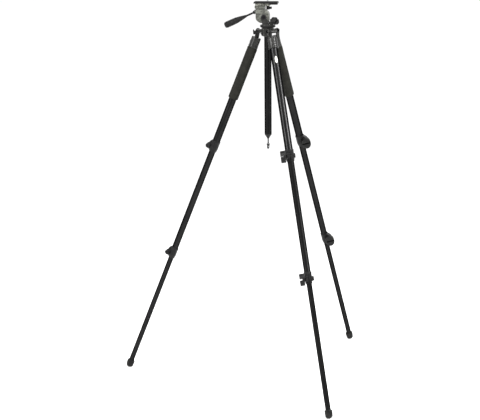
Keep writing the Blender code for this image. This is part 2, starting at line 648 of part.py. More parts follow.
def tilt_body():
    """The light casting that tilts: a drum between the cheeks, a neck and a flange under the plate."""
    drum = extruded([(-0.0330, 0.0170), (-0.0330, -0.0050), (-0.0310, -0.0120), (-0.0250, -0.0175),
                     (-0.0197, -0.0210), (-0.0137, -0.0233), (0, -0.0240), (0.0100, -0.0225),
                     (0.0170, -0.0180), (0.0210, -0.0120), (0.0210, 0.0102), (0.0180, 0.0182),
                     (0.0134, 0.0237), (0.0056, 0.0292), (-0.0270, 0.0292), (-0.0330, 0.0250)],
                    "Y", -BODY_HALF, BODY_HALF)
    neck = extruded([(-0.0330, 0.0150), (0.0160, 0.0170), (0.0070, 0.0260), (0.0056, 0.0292),
                     (0.0040, BODY_HIGH - 0.0110), (0.0040, BODY_HIGH), (-0.0350, BODY_HIGH),
                     (-0.0350, BODY_HIGH - 0.0110), (-0.0270, 0.0292)],
                    "Y", -BODY_HALF + 0.0006, BODY_HALF - 0.0006)
    flange = block((-0.0355, -BODY_WIDE_HALF, BODY_HIGH - 0.0098), (0.0045, BODY_WIDE_HALF, BODY_HIGH))
    socket = rod(SOCKET - 0.006 * HANDLE_WAY, SOCKET + SOCKET_FACE * HANDLE_WAY, 0.0085, 20)
    cuts = [rod((0, -0.04, 0), (0, 0.04, 0), AXLE_R + GAP),
            rod(SOCKET - 0.010 * HANDLE_WAY, SOCKET + 0.010 * HANDLE_WAY, HANDLE_ROD_R + GAP)]
    return combined(drum, [neck, flange, socket], cuts)


def handle_collar():
    """The threaded ring that locks the tilt, on the handle's rod. It lies along +Z from the socket."""
    start = SOCKET_FACE + GAP
    end = start + COLLAR_LENGTH
    bore = HANDLE_ROD_R + GAP
    return turned([(bore, start), (0.0066, start), (0.0066, end - 0.0025), (0.0050, end), (bore, end)], 20)


def handle_rod():
    end = SOCKET_FACE + COLLAR_LENGTH + HANDLE_ROD_LENGTH
    return turned([(0, -0.009), (HANDLE_ROD_R - 0.0005, -0.009), (HANDLE_ROD_R, -0.0085),
                   (HANDLE_ROD_R, end), (0, end)], SMALL_ROUND)


def handle_grip():
    """A rubber grip that swells towards its end."""
    start = SOCKET_FACE + COLLAR_LENGTH + HANDLE_ROD_LENGTH - 0.014
    end = start + GRIP_LENGTH
    bore = HANDLE_ROD_R + GAP
    return turned([(0, start + 0.0145), (bore, start + 0.0145), (bore, start), (0.0050, start),
                   (0.0060, start + 0.006), (0.0100, start + 0.026), (GRIP_R - 0.0006, start + 0.042),
                   (GRIP_R, start + 0.060), (GRIP_R, end - 0.012), (GRIP_R - 0.0012, end - 0.005),
                   (GRIP_R - 0.0045, end), (0, end)], 20)


def plate_receiver():
    """The tray that takes the camera plate between two undercut rails."""
    half = RECEIVER_WIDTH / 2
    inner = half - RAIL_WIDTH
    outline = [(-half, RECEIVER_LOW), (half, RECEIVER_LOW), (half, RAIL_TOP),
               (inner - DOVETAIL_LEAN, RAIL_TOP), (inner, FLOOR_TOP), (-inner, FLOOR_TOP),
               (-inner + DOVETAIL_LEAN, RAIL_TOP), (-half, RAIL_TOP)]
    tray = extruded(outline, "X", RECEIVER_BACK, RECEIVER_FRONT)
    hole = rod((PLATE_LOCK_X, 0, RECEIVER_LOW - 0.001), (PLATE_LOCK_X, 0, RECEIVER_LOW + 0.0028),
               PLATE_LOCK_R + GAP)
    return combined(tray, cut=[hole])


def plate_lock_lever():
    """The lever under the receiver that locks the plate, about its upright pin."""
    high = RECEIVER_LOW - GAP
    low = high - 0.0150
    at = PLATE_LOCK_X
    hub = rod((at, 0, low), (at, 0, high), 0.0064)
    pin = rod((at, 0, high - 0.001), (at, 0, RECEIVER_LOW + 0.0025), PLATE_LOCK_R)
    tab = softened(block((at + 0.002, -0.0045, low + 0.002), (at + 0.0150, 0.0045, high - 0.0035)), 0.0010)
    return combined(hub, [pin, tab])


def camera_plate():
    """The sliding plate: a flat top on a dovetail foot, with a pocket for the screw's head."""
    half = RECEIVER_WIDTH / 2 + 0.0005
    inner = RECEIVER_WIDTH / 2 - RAIL_WIDTH - 0.0005
    neck = inner - DOVETAIL_LEAN * DOVETAIL_DEEP / RAIL_HEIGHT
    top = softened(block((PLATE_BACK, -half, PLATE_LOW), (PLATE_END, half, PLATE_TOP)), 0.0008)
    foot = extruded([(-inner, FOOT_LOW), (inner, FOOT_LOW), (neck, RAIL_TOP), (neck, PLATE_LOW + 0.0012),
                     (-neck, PLATE_LOW + 0.0012), (-neck, RAIL_TOP)],
                    "X", PLATE_BACK + 0.006, PLATE_END - 0.002)
    pocket_top = FOOT_LOW + SCREW_HEAD_DEEP + 2 * GAP
    cuts = [rod((SCREW_X, 0, FOOT_LOW - 0.001), (SCREW_X, 0, pocket_top), SCREW_HEAD_R + GAP, 20),
            rod((SCREW_X, 0, FOOT_LOW), (SCREW_X, 0, PLATE_TOP + 0.001), SCREW_R + GAP)]
    return combined(top, [foot], cuts)


def plate_pad():
    half = RECEIVER_WIDTH / 2 - 0.001
    low = PLATE_TOP + GAP
    corner, opposite = (PLATE_BACK + 0.0015, -half, low), (PLATE_END - 0.0015, half, low + PAD_THICK)
    pad = softened(block(corner, opposite), 0.0006)
    return combined(pad, cut=[rod((SCREW_X, 0, low - 0.001), (SCREW_X, 0, low + 0.005), SCREW_R + GAP)])


def camera_screw():
    low = FOOT_LOW + GAP
    shoulder = low + SCREW_HEAD_DEEP
    top = PLATE_TOP + GAP + PAD_THICK + SCREW_ABOVE
    profile = [(0, low), (SCREW_HEAD_R - 0.0006, low), (SCREW_HEAD_R, low + 0.0006), (SCREW_HEAD_R, shoulder),
               (SCREW_R, shoulder), (SCREW_R, top - CHAMFER), (SCREW_R - CHAMFER, top), (0, top)]
    return moved(turned(profile, 20), Matrix.Translation((SCREW_X, 0, 0)))


# ---------------------------------------------------------------- assembly

for leftover in list(bpy.data.objects):
    bpy.data.objects.remove(leftover)

ANODISED = finish("black_anodised_tube", (0.020, 0.020, 0.022), 0.28, 1.0)
CASTING = finish("black_casting", (0.024, 0.024, 0.024), 0.40, 0.3)
LIGHT_CASTING = finish("light_grey_casting", (0.21, 0.215, 0.20), 0.45, 0.6)
BLACK_PLASTIC = finish("black_plastic", (0.016, 0.016, 0.017), 0.50, 0.0)
FOAM = finish("black_foam", (0.030, 0.030, 0.027), 0.95, 0.0)
RUBBER = finish("black_rubber", (0.018, 0.018, 0.018), 0.80, 0.0)
STEEL = finish("zinc_steel", (0.30, 0.30, 0.31), 0.30, 1.0)
BLACK_STEEL = finish("black_steel", (0.020, 0.020, 0.021), 0.35, 0.8)
BADGE = finish("pale_badge", (0.62, 0.62, 0.58), 0.40, 0.0)

frame = axis_empty("column_axis", (COLUMN_X, 0, 0))
place("spider", spider(), CASTING, frame)
turned_lock = axis_empty("column_lock_axis", (0, 0, LOCK_Z), (0, 0, COLUMN_LOCK_DIRECTION), frame)
place("column_lock_knob", column_lock_knob(), BLACK_PLASTIC, turned_lock)
place("centre_column", centre_column(), ANODISED, frame, (0, 0, COLUMN_BOTTOM))
place("column_flange", column_flange(), CASTING, frame, (0, 0, SHOULDER_TOP))
place("column_end_cap", column_end_cap(), BLACK_PLASTIC, frame, (0, 0, COLUMN_BOTTOM))
place("column_hook", column_hook(), BLACK_STEEL, frame, (0, 0, EYE_Z))

pan = axis_empty("pan_axis", (0, 0, PAN_Z), parent=frame)
place("pan_base", pan_base(), BLACK_PLASTIC, pan)
place("pan_housing", pan_housing(), CASTING, pan)
place("pan_lock_knob", pan_lock_knob(), BLACK_PLASTIC, pan, (0, 0, PAN_LOCK_Z))
tilt = axis_empty("tilt_axis", (-TILT_BACK, 0, TILT_HEIGHT), parent=pan)
place("tilt_axle", tilt_axle(), BLACK_STEEL, tilt)
place("tilt_body", tilt_body(), LIGHT_CASTING, tilt)
place("plate_receiver", plate_receiver(), LIGHT_CASTING, tilt)
place("plate_lock_lever", plate_lock_lever(), BLACK_PLASTIC, tilt, (PLATE_LOCK_X, 0, BODY_HIGH))
place("camera_plate", camera_plate(), BLACK_PLASTIC, tilt)
place("plate_pad", plate_pad(), RUBBER, tilt)
place("camera_screw", camera_screw(), STEEL, tilt, (SCREW_X, 0, PLATE_LOW))
handle = axis_empty("handle_axis", SOCKET, (0, -pi / 2 - HANDLE_DROP, 0), tilt)
place("handle_collar", handle_collar(), BLACK_PLASTIC, handle)
place("handle_rod", handle_rod(), BLACK_STEEL, handle)
place("handle_grip", handle_grip(), RUBBER, handle)

UPPER_BOTTOM = UPPER_CLAMP_DOWN - SEAT_ABOVE_SCREW - GAP
MIDDLE_TOP = UPPER_BOTTOM - TUBE_OVERLAP
MIDDLE_BOTTOM = LOWER_CLAMP_DOWN - SEAT_ABOVE_SCREW - GAP
LOWER_TOP = MIDDLE_BOTTOM - TUBE_OVERLAP
LOWER_BOTTOM = LEG_LENGTH - FOOT_SOCKET - GAP

# name, mesh and material of each piece drawn in the leg's own axes
leg_pieces = (
    ("fitting", leg_fitting(), CASTING),
    ("pivot_bolt", pivot_bolt(), BLACK_STEEL),
    ("angle_lever", angle_lever(), BLACK_PLASTIC),
    ("upper_tube", tube(UPPER_TUBE_R, UPPER_TUBE_TOP, UPPER_BOTTOM, False), ANODISED),
    ("middle_tube", tube(MIDDLE_TUBE_R, MIDDLE_TOP, MIDDLE_BOTTOM, True), ANODISED),
    ("lower_tube", tube(LOWER_TUBE_R, LOWER_TOP, LOWER_BOTTOM, True), ANODISED),
    ("foot", foot(), RUBBER),
)
# name of each clamp, its place on the leg, and the tube it sits on and the one it grips
clamps = (
    ("upper_clamp", UPPER_CLAMP_DOWN, UPPER_TUBE_R, MIDDLE_TUBE_R),
    ("lower_clamp", LOWER_CLAMP_DOWN, MIDDLE_TUBE_R, LOWER_TUBE_R),
)
foam = foam_grip()
for leg, direction in LEGS.items():
    at = (PIVOT_RADIUS * cos(direction), PIVOT_RADIUS * sin(direction), PIVOT_Z)
    pivot = axis_empty(leg + "_leg_axis", at, (0, -LEG_ANGLE, direction), frame)
    for piece, mesh, material in leg_pieces:
        place(leg + "_" + piece, mesh, material, pivot)
    for piece, down, outer, inner in clamps:
        turn = CLAMP_TURN[leg]
        on_leg = clamp_frame(down, turn)
        place(leg + "_" + piece, moved(leg_clamp(outer, inner), on_leg), BLACK_PLASTIC, pivot)
        at_screw = on_leg @ Vector((screw_out(outer), 0, 0))
        screw = axis_empty(leg + "_" + piece + "_knob_axis", at_screw, (0, 0, turn), pivot)
        place(leg + "_" + piece + "_knob", clamp_knob(outer), BLACK_PLASTIC, screw)
    if leg == "front":
        place("front_badge", badge(), BADGE, pivot)
    else:
        place(leg + "_foam_grip", foam, FOAM, pivot)
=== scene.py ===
# %% [markdown]
# # A camera tripod with a pan and tilt head
# The tripod stands on three round legs. Each leg is three tubes that slide into each other and are held
# by split clamps. A casting called the shoulder carries the legs and the centre column, and the head on
# top of the column pans, tilts and takes a camera on a sliding plate.
# The working model is loaded first. It says where every axis is, so nothing here is placed by eye.

import json
from math import acos, cos, degrees, pi, radians, sin, tau

import bpy
from mathutils import Matrix, Vector


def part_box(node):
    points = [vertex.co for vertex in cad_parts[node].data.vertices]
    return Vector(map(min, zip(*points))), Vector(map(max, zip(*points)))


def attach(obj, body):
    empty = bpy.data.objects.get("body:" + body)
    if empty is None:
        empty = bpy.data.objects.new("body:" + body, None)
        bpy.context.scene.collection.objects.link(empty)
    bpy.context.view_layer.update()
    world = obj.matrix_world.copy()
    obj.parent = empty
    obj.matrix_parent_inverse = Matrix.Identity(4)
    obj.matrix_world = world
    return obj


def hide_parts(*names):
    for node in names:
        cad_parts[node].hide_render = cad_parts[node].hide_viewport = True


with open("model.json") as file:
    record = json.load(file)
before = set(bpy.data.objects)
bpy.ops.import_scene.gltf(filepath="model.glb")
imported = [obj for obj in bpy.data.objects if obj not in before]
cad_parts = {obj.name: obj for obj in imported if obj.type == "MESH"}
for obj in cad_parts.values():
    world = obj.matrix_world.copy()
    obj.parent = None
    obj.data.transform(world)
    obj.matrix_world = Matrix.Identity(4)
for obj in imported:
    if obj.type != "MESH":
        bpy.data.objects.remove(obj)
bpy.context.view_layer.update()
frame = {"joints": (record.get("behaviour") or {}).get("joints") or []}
joints = {joint["name"]: joint for joint in frame["joints"]}

# %% [markdown]
# ## Where things are
# A leg's pieces are all modelled once, in the leg's own axes: the pivot is the origin, Z runs up the
# tube, X points away from the column and Y lies along the pivot bolt. Each leg's joints give the matrix
# that puts a copy in its place.

# %% Axes from the joints
LEGS = ("left", "front", "rear")


def axes_at(point, x_axis, y_axis, z_axis):
    """The matrix from a piece's own axes to the tripod's."""
    turn = Matrix((x_axis, y_axis, z_axis)).transposed().to_4x4()
    return Matrix.Translation(point) @ turn


leg_axes = {}
for leg in LEGS:
    bolt = Vector(joints[leg + "_leg_fold"]["axis"])
    up_the_leg = Vector(joints[leg + "_middle_slide"]["axis"])
    pivot = Vector(joints[leg + "_leg_fold"]["pos_m"])
    leg_axes[leg] = axes_at(pivot, bolt.cross(up_the_leg), bolt, up_the_leg)
column_at = Vector(joints["pan_turn"]["pos_m"])
column_axis = Matrix.Translation((column_at.x, column_at.y, 0))
pan_base_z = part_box("pan_base")[0].z
pan_axes = Matrix.Translation((column_at.x, column_at.y, pan_base_z))
tilt_axes = Matrix.Translation(joints["tilt_turn"]["pos_m"])
print("legs lean", round(degrees(acos(up_the_leg.z)), 1), "degrees; pan base at", round(pan_base_z, 4))

# %% [markdown]
# ## Small tools for modelling
# Nearly every piece is round or cut from an outline. A round piece starts as a circle that is extruded
# and resized ring by ring, as if by hand. A flat one starts as a circle with as many points as its
# outline, which is then pulled to thickness and bevelled.

# %% Selecting and applying
GAP = 0.0003                  # clear space between pieces that touch


def only(obj):
    """Selects one object and makes it active."""
    bpy.ops.object.select_all(action="DESELECT")
    obj.select_set(True)
    bpy.context.view_layer.objects.active = obj


def facing_out(obj):
    """Merges doubles and turns every face outwards."""
    only(obj)
    bpy.ops.object.mode_set(mode="EDIT")
    bpy.ops.mesh.select_all(action="SELECT")
    bpy.ops.mesh.remove_doubles(threshold=1e-6)
    bpy.ops.mesh.normals_make_consistent(inside=False)
    bpy.ops.object.mode_set(mode="OBJECT")
    return obj


def with_modifier(obj, kind, **settings):
    """Adds a modifier with these settings and applies it."""
    only(obj)
    modifier = obj.modifiers.new(kind.title(), kind)
    for setting, value in settings.items():
        setattr(modifier, setting, value)
    bpy.ops.object.modifier_apply(modifier=modifier.name)
    return obj


def moved(obj, matrix):
    """Moves the piece's mesh and leaves its object at the origin."""
    obj.data.transform(matrix)
    if matrix.to_3x3().determinant() < 0:
        obj.data.flip_normals()
    return obj


# %% Turning a round piece
def lathe(rings, sides=64, tube=False):
    """A round piece about Z through (radius, height) rings. A tube's last ring joins its first."""
    bpy.ops.object.select_all(action="DESELECT")
    radius, height = rings[0]
    bpy.ops.mesh.primitive_circle_add(vertices=sides, radius=radius, fill_type="NOTHING" if tube else "NGON",
                                      location=(0, 0, height))
    bpy.ops.object.transform_apply(location=True, rotation=False, scale=False)
    obj = bpy.context.object
    bpy.ops.object.mode_set(mode="EDIT")
    bpy.ops.mesh.select_all(action="SELECT")
    for next_radius, next_height in rings[1:]:
        bpy.ops.mesh.extrude_region_move(TRANSFORM_OT_translate={"value": (0, 0, next_height - height)})
        grow = next_radius / radius
        bpy.ops.transform.resize(value=(grow, grow, 1), center_override=(0, 0, next_height))
        radius, height = next_radius, next_height
    if tube:
        bpy.ops.mesh.select_mode(type="EDGE")
        bpy.ops.mesh.select_all(action="DESELECT")
        bpy.ops.mesh.select_non_manifold()
        bpy.ops.mesh.bridge_edge_loops()
        bpy.ops.mesh.select_mode(type="VERT")
    bpy.ops.object.mode_set(mode="OBJECT")
    return facing_out(obj)


def rounded_rings(rings, rounding, steps=4):
    """The same profile with each inner corner turned into a small arc."""
    made = [rings[0]]
    for before, corner, after in zip(rings, rings[1:], rings[2:]):
        corner = Vector(corner)
        back, ahead = Vector(before) - corner, Vector(after) - corner
        reach = min(rounding, 0.45 * back.length, 0.45 * ahead.length)
        start, end = corner + back.normalized() * reach, corner + ahead.normalized() * reach
        for i in range(steps + 1):
            t = i / steps
            made.append(tuple(start * (1 - t) ** 2 + corner * 2 * t * (1 - t) + end * t ** 2))
    return made + [rings[-1]]


# %% Cutting a piece from an outline
DRAWN_ACROSS = {
    "X": lambda u, v, depth: Vector((depth, u, v)),
    "Y": lambda u, v, depth: Vector((u, depth, v)),
    "Z": lambda u, v, depth: Vector((u, v, depth)),
}


def arc(centre, radius, start, end, steps):
    """Points on a circle between two angles in degrees."""
    angles = [radians(start + (end - start) * i / steps) for i in range(steps + 1)]
    return [(centre[0] + radius * cos(a), centre[1] + radius * sin(a)) for a in angles]


def rounded_outline(points, radius, steps=4):
    """An outline with its corners turned into arcs."""
    made = []
    count = len(points)
    for i, corner in enumerate(points):
        corner = Vector(corner)
        back, ahead = Vector(points[i - 1]) - corner, Vector(points[(i + 1) % count]) - corner
        reach = min(radius, 0.45 * back.length, 0.45 * ahead.length)
        start, end = corner + back.normalized() * reach, corner + ahead.normalized() * reach
        for step in range(steps + 1):
            t = step / steps
            made.append(tuple(start * (1 - t) ** 2 + corner * 2 * t * (1 - t) + end * t ** 2))
    return made


def slab(outline, axis, low, high, bevel=0.0006, segments=3):
    """A piece drawn across an axis, pulled along it from low to high and bevelled."""
    bpy.ops.object.select_all(action="DESELECT")
    bpy.ops.mesh.primitive_circle_add(vertices=len(outline), radius=0.01, fill_type="NGON", location=(0, 0, 0))
    obj = bpy.context.object
    place = DRAWN_ACROSS[axis]
    for vertex, (u, v) in zip(obj.data.vertices, outline):
        vertex.co = place(u, v, low)
    bpy.ops.object.mode_set(mode="EDIT")
    bpy.ops.mesh.select_all(action="SELECT")
    bpy.ops.mesh.extrude_region_move(TRANSFORM_OT_translate={"value": place(0, 0, high - low)})
    bpy.ops.object.mode_set(mode="OBJECT")
    facing_out(obj)
    if bevel:
        with_modifier(obj, "BEVEL", width=bevel, segments=segments, limit_method="ANGLE",
                      angle_limit=radians(50), use_clamp_overlap=True)
    return obj


def bar(start, end, radius, sides=32, bevel=0.0004):
    """A round bar between two points, with small chamfers."""
    start, end = Vector(start), Vector(end)
    length = (end - start).length
    small = min(bevel, radius / 3, length / 3)
    profile = [(radius - small, 0), (radius, small), (radius, length - small), (radius - small, length)]
    obj = lathe(profile, sides)
    return moved(obj, Matrix.Translation(start) @ (end - start).to_track_quat("Z", "Y").to_matrix().to_4x4())


def brick(low, high, bevel=0.0006):
    """A block between two corners."""
    return slab([(low[0], low[1]), (high[0], low[1]), (high[0], high[1]), (low[0], high[1])],
                "Z", low[2], high[2], bevel)


# %% Joining, cutting and casting
def joined(pieces):
    """Several pieces as one object."""
    bpy.ops.object.select_all(action="DESELECT")
    for piece in pieces:
        piece.select_set(True)
    bpy.context.view_layer.objects.active = pieces[0]
    if len(pieces) > 1:
        bpy.ops.object.join()
    return pieces[0]


def cut(obj, cutters, solver="MANIFOLD"):
    """Takes each cutter away from the piece."""
    for cutter in cutters:
        with_modifier(obj, "BOOLEAN", object=cutter, operation="DIFFERENCE", solver=solver)
        bpy.data.objects.remove(cutter)
    return obj


def cast(pieces, grain=0.0008, softening=6):
    """Overlapping shapes as one casting: remeshed together, so that they meet in soft fillets."""
    obj = joined(pieces)
    with_modifier(obj, "REMESH", mode="VOXEL", voxel_size=grain)
    return with_modifier(obj, "SMOOTH", factor=0.5, iterations=softening)


# %% [markdown]
# ## Finishes
# A finish is never one flat colour. Paint has a fine orange peel, a mottling that also paints in light and shade, and
# edges lightened both for wear and as painted highlights; moulded plastic has a spark-eroded grain, anodised tube has
# faint lines along it and scuffs round it, and foam is full of small cells, with painted shade in their hollows. Each
# one is built from noise at the real size of that detail, in metres.

# %% Building blocks for finishes
class Finish:
    """A material whose nodes are added one by one."""

    def __init__(self, name, colour, roughness, metallic=0.0, shine=0.5):
        self.material = bpy.data.materials.new(name)
        self.material.use_nodes = True
        self.nodes = self.material.node_tree.nodes
        self.links = self.material.node_tree.links
        self.shader = self.nodes["Principled BSDF"]
        self.shader.inputs["Base Color"].default_value = (*colour, 1)
        self.shader.inputs["Roughness"].default_value = roughness
        self.shader.inputs["Metallic"].default_value = metallic
        self.shader.inputs["Specular IOR Level"].default_value = shine
        self.shader.inputs["Specular Tint"].default_value = (0.3, 0.3, 0.3, 1)
        self.material.diffuse_color = (*colour, 1)
        self.colour = (*colour, 1)
        self.where = self.nodes.new("ShaderNodeTexCoord").outputs["Object"]
        self.height = None

    def along_the_piece(self):
        """Reads the piece's own axes, stored when it was made, so that lines run along a leaning tube."""
        own = self.nodes.new("ShaderNodeAttribute")
        own.attribute_name = "own_axes"
        self.where = own.outputs["Vector"]

    def noise(self, size, detail=3, stretch=(1, 1, 1), distortion=0.0):
        """Noise whose blobs are about this many metres across."""
        mapping = self.nodes.new("ShaderNodeMapping")
        mapping.inputs["Scale"].default_value = stretch
        texture = self.nodes.new("ShaderNodeTexNoise")
        texture.inputs["Scale"].default_value = 1 / size
        texture.inputs["Detail"].default_value = detail
        texture.inputs["Distortion"].default_value = distortion
        self.links.new(self.where, mapping.inputs["Vector"])
        self.links.new(mapping.outputs["Vector"], texture.inputs["Vector"])
        return texture.outputs["Fac"]

    def cells(self, size):
        texture = self.nodes.new("ShaderNodeTexVoronoi")
        texture.inputs["Scale"].default_value = 1 / size
        self.links.new(self.where, texture.inputs["Vector"])
        return texture.outputs["Distance"]

    def ramp(self, source, low, high, start=0.0, end=1.0):
        """Stretches a source between two levels to values between start and end."""
        node = self.nodes.new("ShaderNodeMapRange")
        node.inputs["From Min"].default_value = low
        node.inputs["From Max"].default_value = high
        node.inputs["To Min"].default_value = start
        node.inputs["To Max"].default_value = end
        self.links.new(source, node.inputs["Value"])
        return node.outputs["Result"]

    def tint(self, mask, colour):
        """Blends a second colour in where the mask is high."""
        mix = self.nodes.new("ShaderNodeMix")
        mix.data_type = "RGBA"
        base = self.shader.inputs["Base Color"]
        if base.is_linked:
            self.links.new(base.links[0].from_socket, mix.inputs["A"])
        else:
            mix.inputs["A"].default_value = self.colour
        mix.inputs["B"].default_value = (*colour, 1)
        self.links.new(mask, mix.inputs["Factor"])
        self.links.new(mix.outputs["Result"], base)

    def rough(self, source, low, high):
        self.links.new(self.ramp(source, 0.3, 0.7, low, high), self.shader.inputs["Roughness"])

    def bump(self, source, height):
        """Raises the surface by up to this many metres where the source is high."""
        node = self.nodes.new("ShaderNodeBump")
        node.inputs["Distance"].default_value = height
        node.inputs["Strength"].default_value = 1.0
        self.links.new(source, node.inputs["Height"])
        if self.height is not None:
            self.links.new(self.height, node.inputs["Normal"])
        self.height = node.outputs["Normal"]
        self.links.new(self.height, self.shader.inputs["Normal"])

    def edges(self, start=0.52, end=0.60):
        """Where the surface bends outwards, as an edge does."""
        geometry = self.nodes.new("ShaderNodeNewGeometry")
        return self.ramp(geometry.outputs["Pointiness"], start, end)

    def product(self, first, second):
        node = self.nodes.new("ShaderNodeMath")
        node.operation = "MULTIPLY"
        self.links.new(first, node.inputs[0])
        self.links.new(second, node.inputs[1])
        return node.outputs["Value"]


# %% Anodised tube
def anodised_tube():
    made = Finish("black_anodised_tube", (0.0120, 0.0120, 0.0123), 0.30, 1.0)
    made.shader.inputs["Specular Tint"].default_value = (0.1, 0.1, 0.1, 1)
    made.along_the_piece()
    lines = made.noise(0.0009, 2, (1, 1, 0.012))
    scuffs = made.noise(0.0040, 4, (0.25, 0.25, 3.0), 0.6)
    clouds = made.noise(0.060, 3)
    made.tint(made.ramp(clouds, 0.35, 0.75, 0, 0.5), (0.021, 0.0205, 0.020))
    made.tint(made.ramp(scuffs, 0.66, 0.78, 0, 0.30), (0.060, 0.060, 0.059))
    made.rough(made.noise(0.012, 4), 0.27, 0.33)
    made.bump(lines, 0.00001)
    return made.material


ANODISED = anodised_tube()
print("finish:", ANODISED.name)


# %% Painted castings
def painted_casting(name, colour, bright, roughness, shine, mottle_and_painted_light=0.35):
    """Stoved paint on a zinc or aluminium casting: mottled, partly its own uneven tone and partly painted highlights
    and shade, and lighter along its edges, partly wear and partly painted highlights.
    """
    made = Finish(name, colour, roughness, 0.0, shine)
    # Painted highlights and shade: the lighter and darker mottling stands in for light and shade on the faces, besides
    # the paint's own uneven tone.
    made.tint(made.ramp(made.noise(0.014, 4), 0.42, 0.62, 0, mottle_and_painted_light), tuple(2.4 * c for c in colour))
    made.tint(made.ramp(made.noise(0.010, 5, (1.3, 1.3, 1.3)), 0.48, 0.66, 0, mottle_and_painted_light), tuple(0.35 * c for c in colour))
    # The edges are lightened partly for wear and partly as painted highlights along them.
    wear_and_highlight = made.product(made.edges(), made.ramp(made.noise(0.004, 5), 0.40, 0.62))
    made.tint(wear_and_highlight, bright)
    made.rough(made.noise(0.003, 4), roughness - 0.07, roughness + 0.10)
    made.bump(made.noise(0.0011, 3), 0.00004)
    made.bump(made.noise(0.009, 2), 0.00030)
    return made.material


DARK_CASTING = painted_casting("black_casting", (0.0105, 0.0105, 0.0098), (0.150, 0.146, 0.130), 0.25, 0.65)
LIGHT_CASTING = painted_casting("light_grey_casting", (0.052, 0.0535, 0.046), (0.30, 0.30, 0.27), 0.27, 0.80, 0.8)
# Painted shade: a darker copy of the light grey casting, for the tray and its rails.
SHADED_TRAY_CASTING = painted_casting("shaded_grey_tray_casting", (0.020, 0.0205, 0.0175), (0.16, 0.16, 0.14), 0.30, 0.40, 0.8)
print("finishes:", DARK_CASTING.name, LIGHT_CASTING.name, SHADED_TRAY_CASTING.name)


# %% Moulded plastic and rubber
def moulded(name, colour, roughness, shine, grain, depth, dust):
    """A moulded piece: an even grain, a little polish where it is handled, and dust in the rest."""
    made = Finish(name, colour, roughness, 0.0, shine)
    made.tint(made.ramp(made.noise(0.010, 5), 0.48, 0.75, 0, dust), (0.070, 0.068, 0.062))
    made.rough(made.noise(0.006, 3), roughness - 0.10, roughness + 0.10)
    made.bump(made.noise(grain, 2), depth)
    return made.material


BLACK_PLASTIC = moulded("black_plastic", (0.0070, 0.0070, 0.0072), 0.36, 0.28, 0.0006, 0.00002, 0.10)
RUBBER = moulded("black_rubber", (0.0080, 0.0080, 0.0080), 0.62, 0.20, 0.0009, 0.00005, 0.20)
print("finishes:", BLACK_PLASTIC.name, RUBBER.name)


# %% Foam, steel and the badge
def foam():
    made = Finish("black_foam", (0.0120, 0.0120, 0.0104), 0.90, 0.0, 0.12)
    made.tint(made.ramp(made.noise(0.020, 5), 0.40, 0.70, 0, 0.6), (0.0200, 0.0196, 0.0168))
    # Painted shade: the hollows of the foam's cells are darkened.
    made.tint(made.ramp(made.cells(0.0011), 0.05, 0.35, 0.6, 0), (0.0050, 0.0050, 0.0045))
    made.bump(made.cells(0.0011), 0.00025)
    made.bump(made.noise(0.006, 3), 0.0004)
    return made.material


def plated_steel(name, colour, dull):
    made = Finish(name, colour, 0.30, 1.0)
    made.tint(made.ramp(made.noise(0.005, 5), 0.50, 0.72, 0, 0.6), dull)
    made.rough(made.noise(0.0015, 4), 0.24, 0.42)
    made.bump(made.noise(0.0006, 3), 0.00001)
    return made.material


def badge_paint():
    made = Finish("pale_badge", (0.46, 0.46, 0.43), 0.38)
    made.tint(made.ramp(made.noise(0.006, 5), 0.50, 0.75, 0, 0.5), (0.34, 0.33, 0.30))
    made.rough(made.noise(0.002, 4), 0.30, 0.48)
    made.bump(made.noise(0.0008, 3), 0.00002)
    return made.material


FOAM = foam()
STEEL = plated_steel("zinc_steel", (0.36, 0.36, 0.37), (0.20, 0.20, 0.21))
BLACK_STEEL = plated_steel("black_steel", (0.016, 0.016, 0.017), (0.030, 0.029, 0.028))
BADGE = badge_paint()
print("finishes:", FOAM.name, STEEL.name, BLACK_STEEL.name, BADGE.name)

# %% Putting a finished piece on its body
def keep_own_axes(obj):
    """Stores each point's place in the piece's own axes, for patterns that follow it."""
    own = obj.data.attributes.new("own_axes", "FLOAT_VECTOR", "POINT")
    for item, vertex in zip(own.data, obj.data.vertices):
        item.vector = vertex.co


def fitted(obj, name, body, material, nodes, matrix, smooth=35):
    """Names the piece, moves it to its place, gives it its finish and hangs it on its body."""
    obj.name = name
    obj.data.name = name
    only(obj)
    bpy.ops.object.shade_smooth_by_angle(angle=radians(smooth))
    keep_own_axes(obj)
    moved(obj, matrix)
    obj.data.materials.clear()
    obj.data.materials.append(material)
    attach(obj, body)
    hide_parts(*nodes)
    return obj


def on_each_leg(obj, piece, body, material, matrix=None, legs=LEGS, smooth=35):
    """A copy of the piece for each leg. A clamp's place on its leg differs from leg to leg."""
    for leg in legs:
        copy = obj
        if leg != legs[-1]:
            copy = obj.copy()
            copy.data = obj.data.copy()
            bpy.context.scene.collection.objects.link(copy)
        on_leg = matrix[leg] if isinstance(matrix, dict) else matrix or Matrix()
        fitted(copy, f"{leg}_{piece}_skin", f"{leg}_{body}", material, [f"{leg}_{piece}"],
               leg_axes[leg] @ on_leg, smooth)
    print(piece, "faces:", len(obj.data.polygons))

# %% [markdown]
# ## Leg tubes
# Three drawn aluminium tubes, about 30, 26 and 21 mm across. Each is open at both ends, and the inner two are
# widened at the top, where a real one has a bushing that rubs in the tube outside it.

# %% Leg tubes
TUBE_INSET = 0.006            # a tube's axis, inboard of its pivot
TUBE_R = {"upper": 0.0152, "middle": 0.0128, "lower": 0.0103}
TUBE_WALL = 0.0013
SLEEVE_TOP = 0.025            # the fitting's sleeve, below the pivot
SLEEVE_LENGTH = 0.042
SLEEVE_ROOF = 0.005
SLEEVE_BOTTOM = SLEEVE_TOP + SLEEVE_LENGTH
CLAMP_DOWN = {"upper": 0.494, "lower": 0.966}
SEAT_ABOVE_SCREW = 0.004      # an outer tube ends this far above its clamp's screw
TUBE_OVERLAP = 0.060
LEG_LENGTH = 1.4735
FOOT_SOCKET = 0.003
SWAGE = 0.0004
ON_TUBE = Matrix.Translation((-TUBE_INSET, 0, 0))

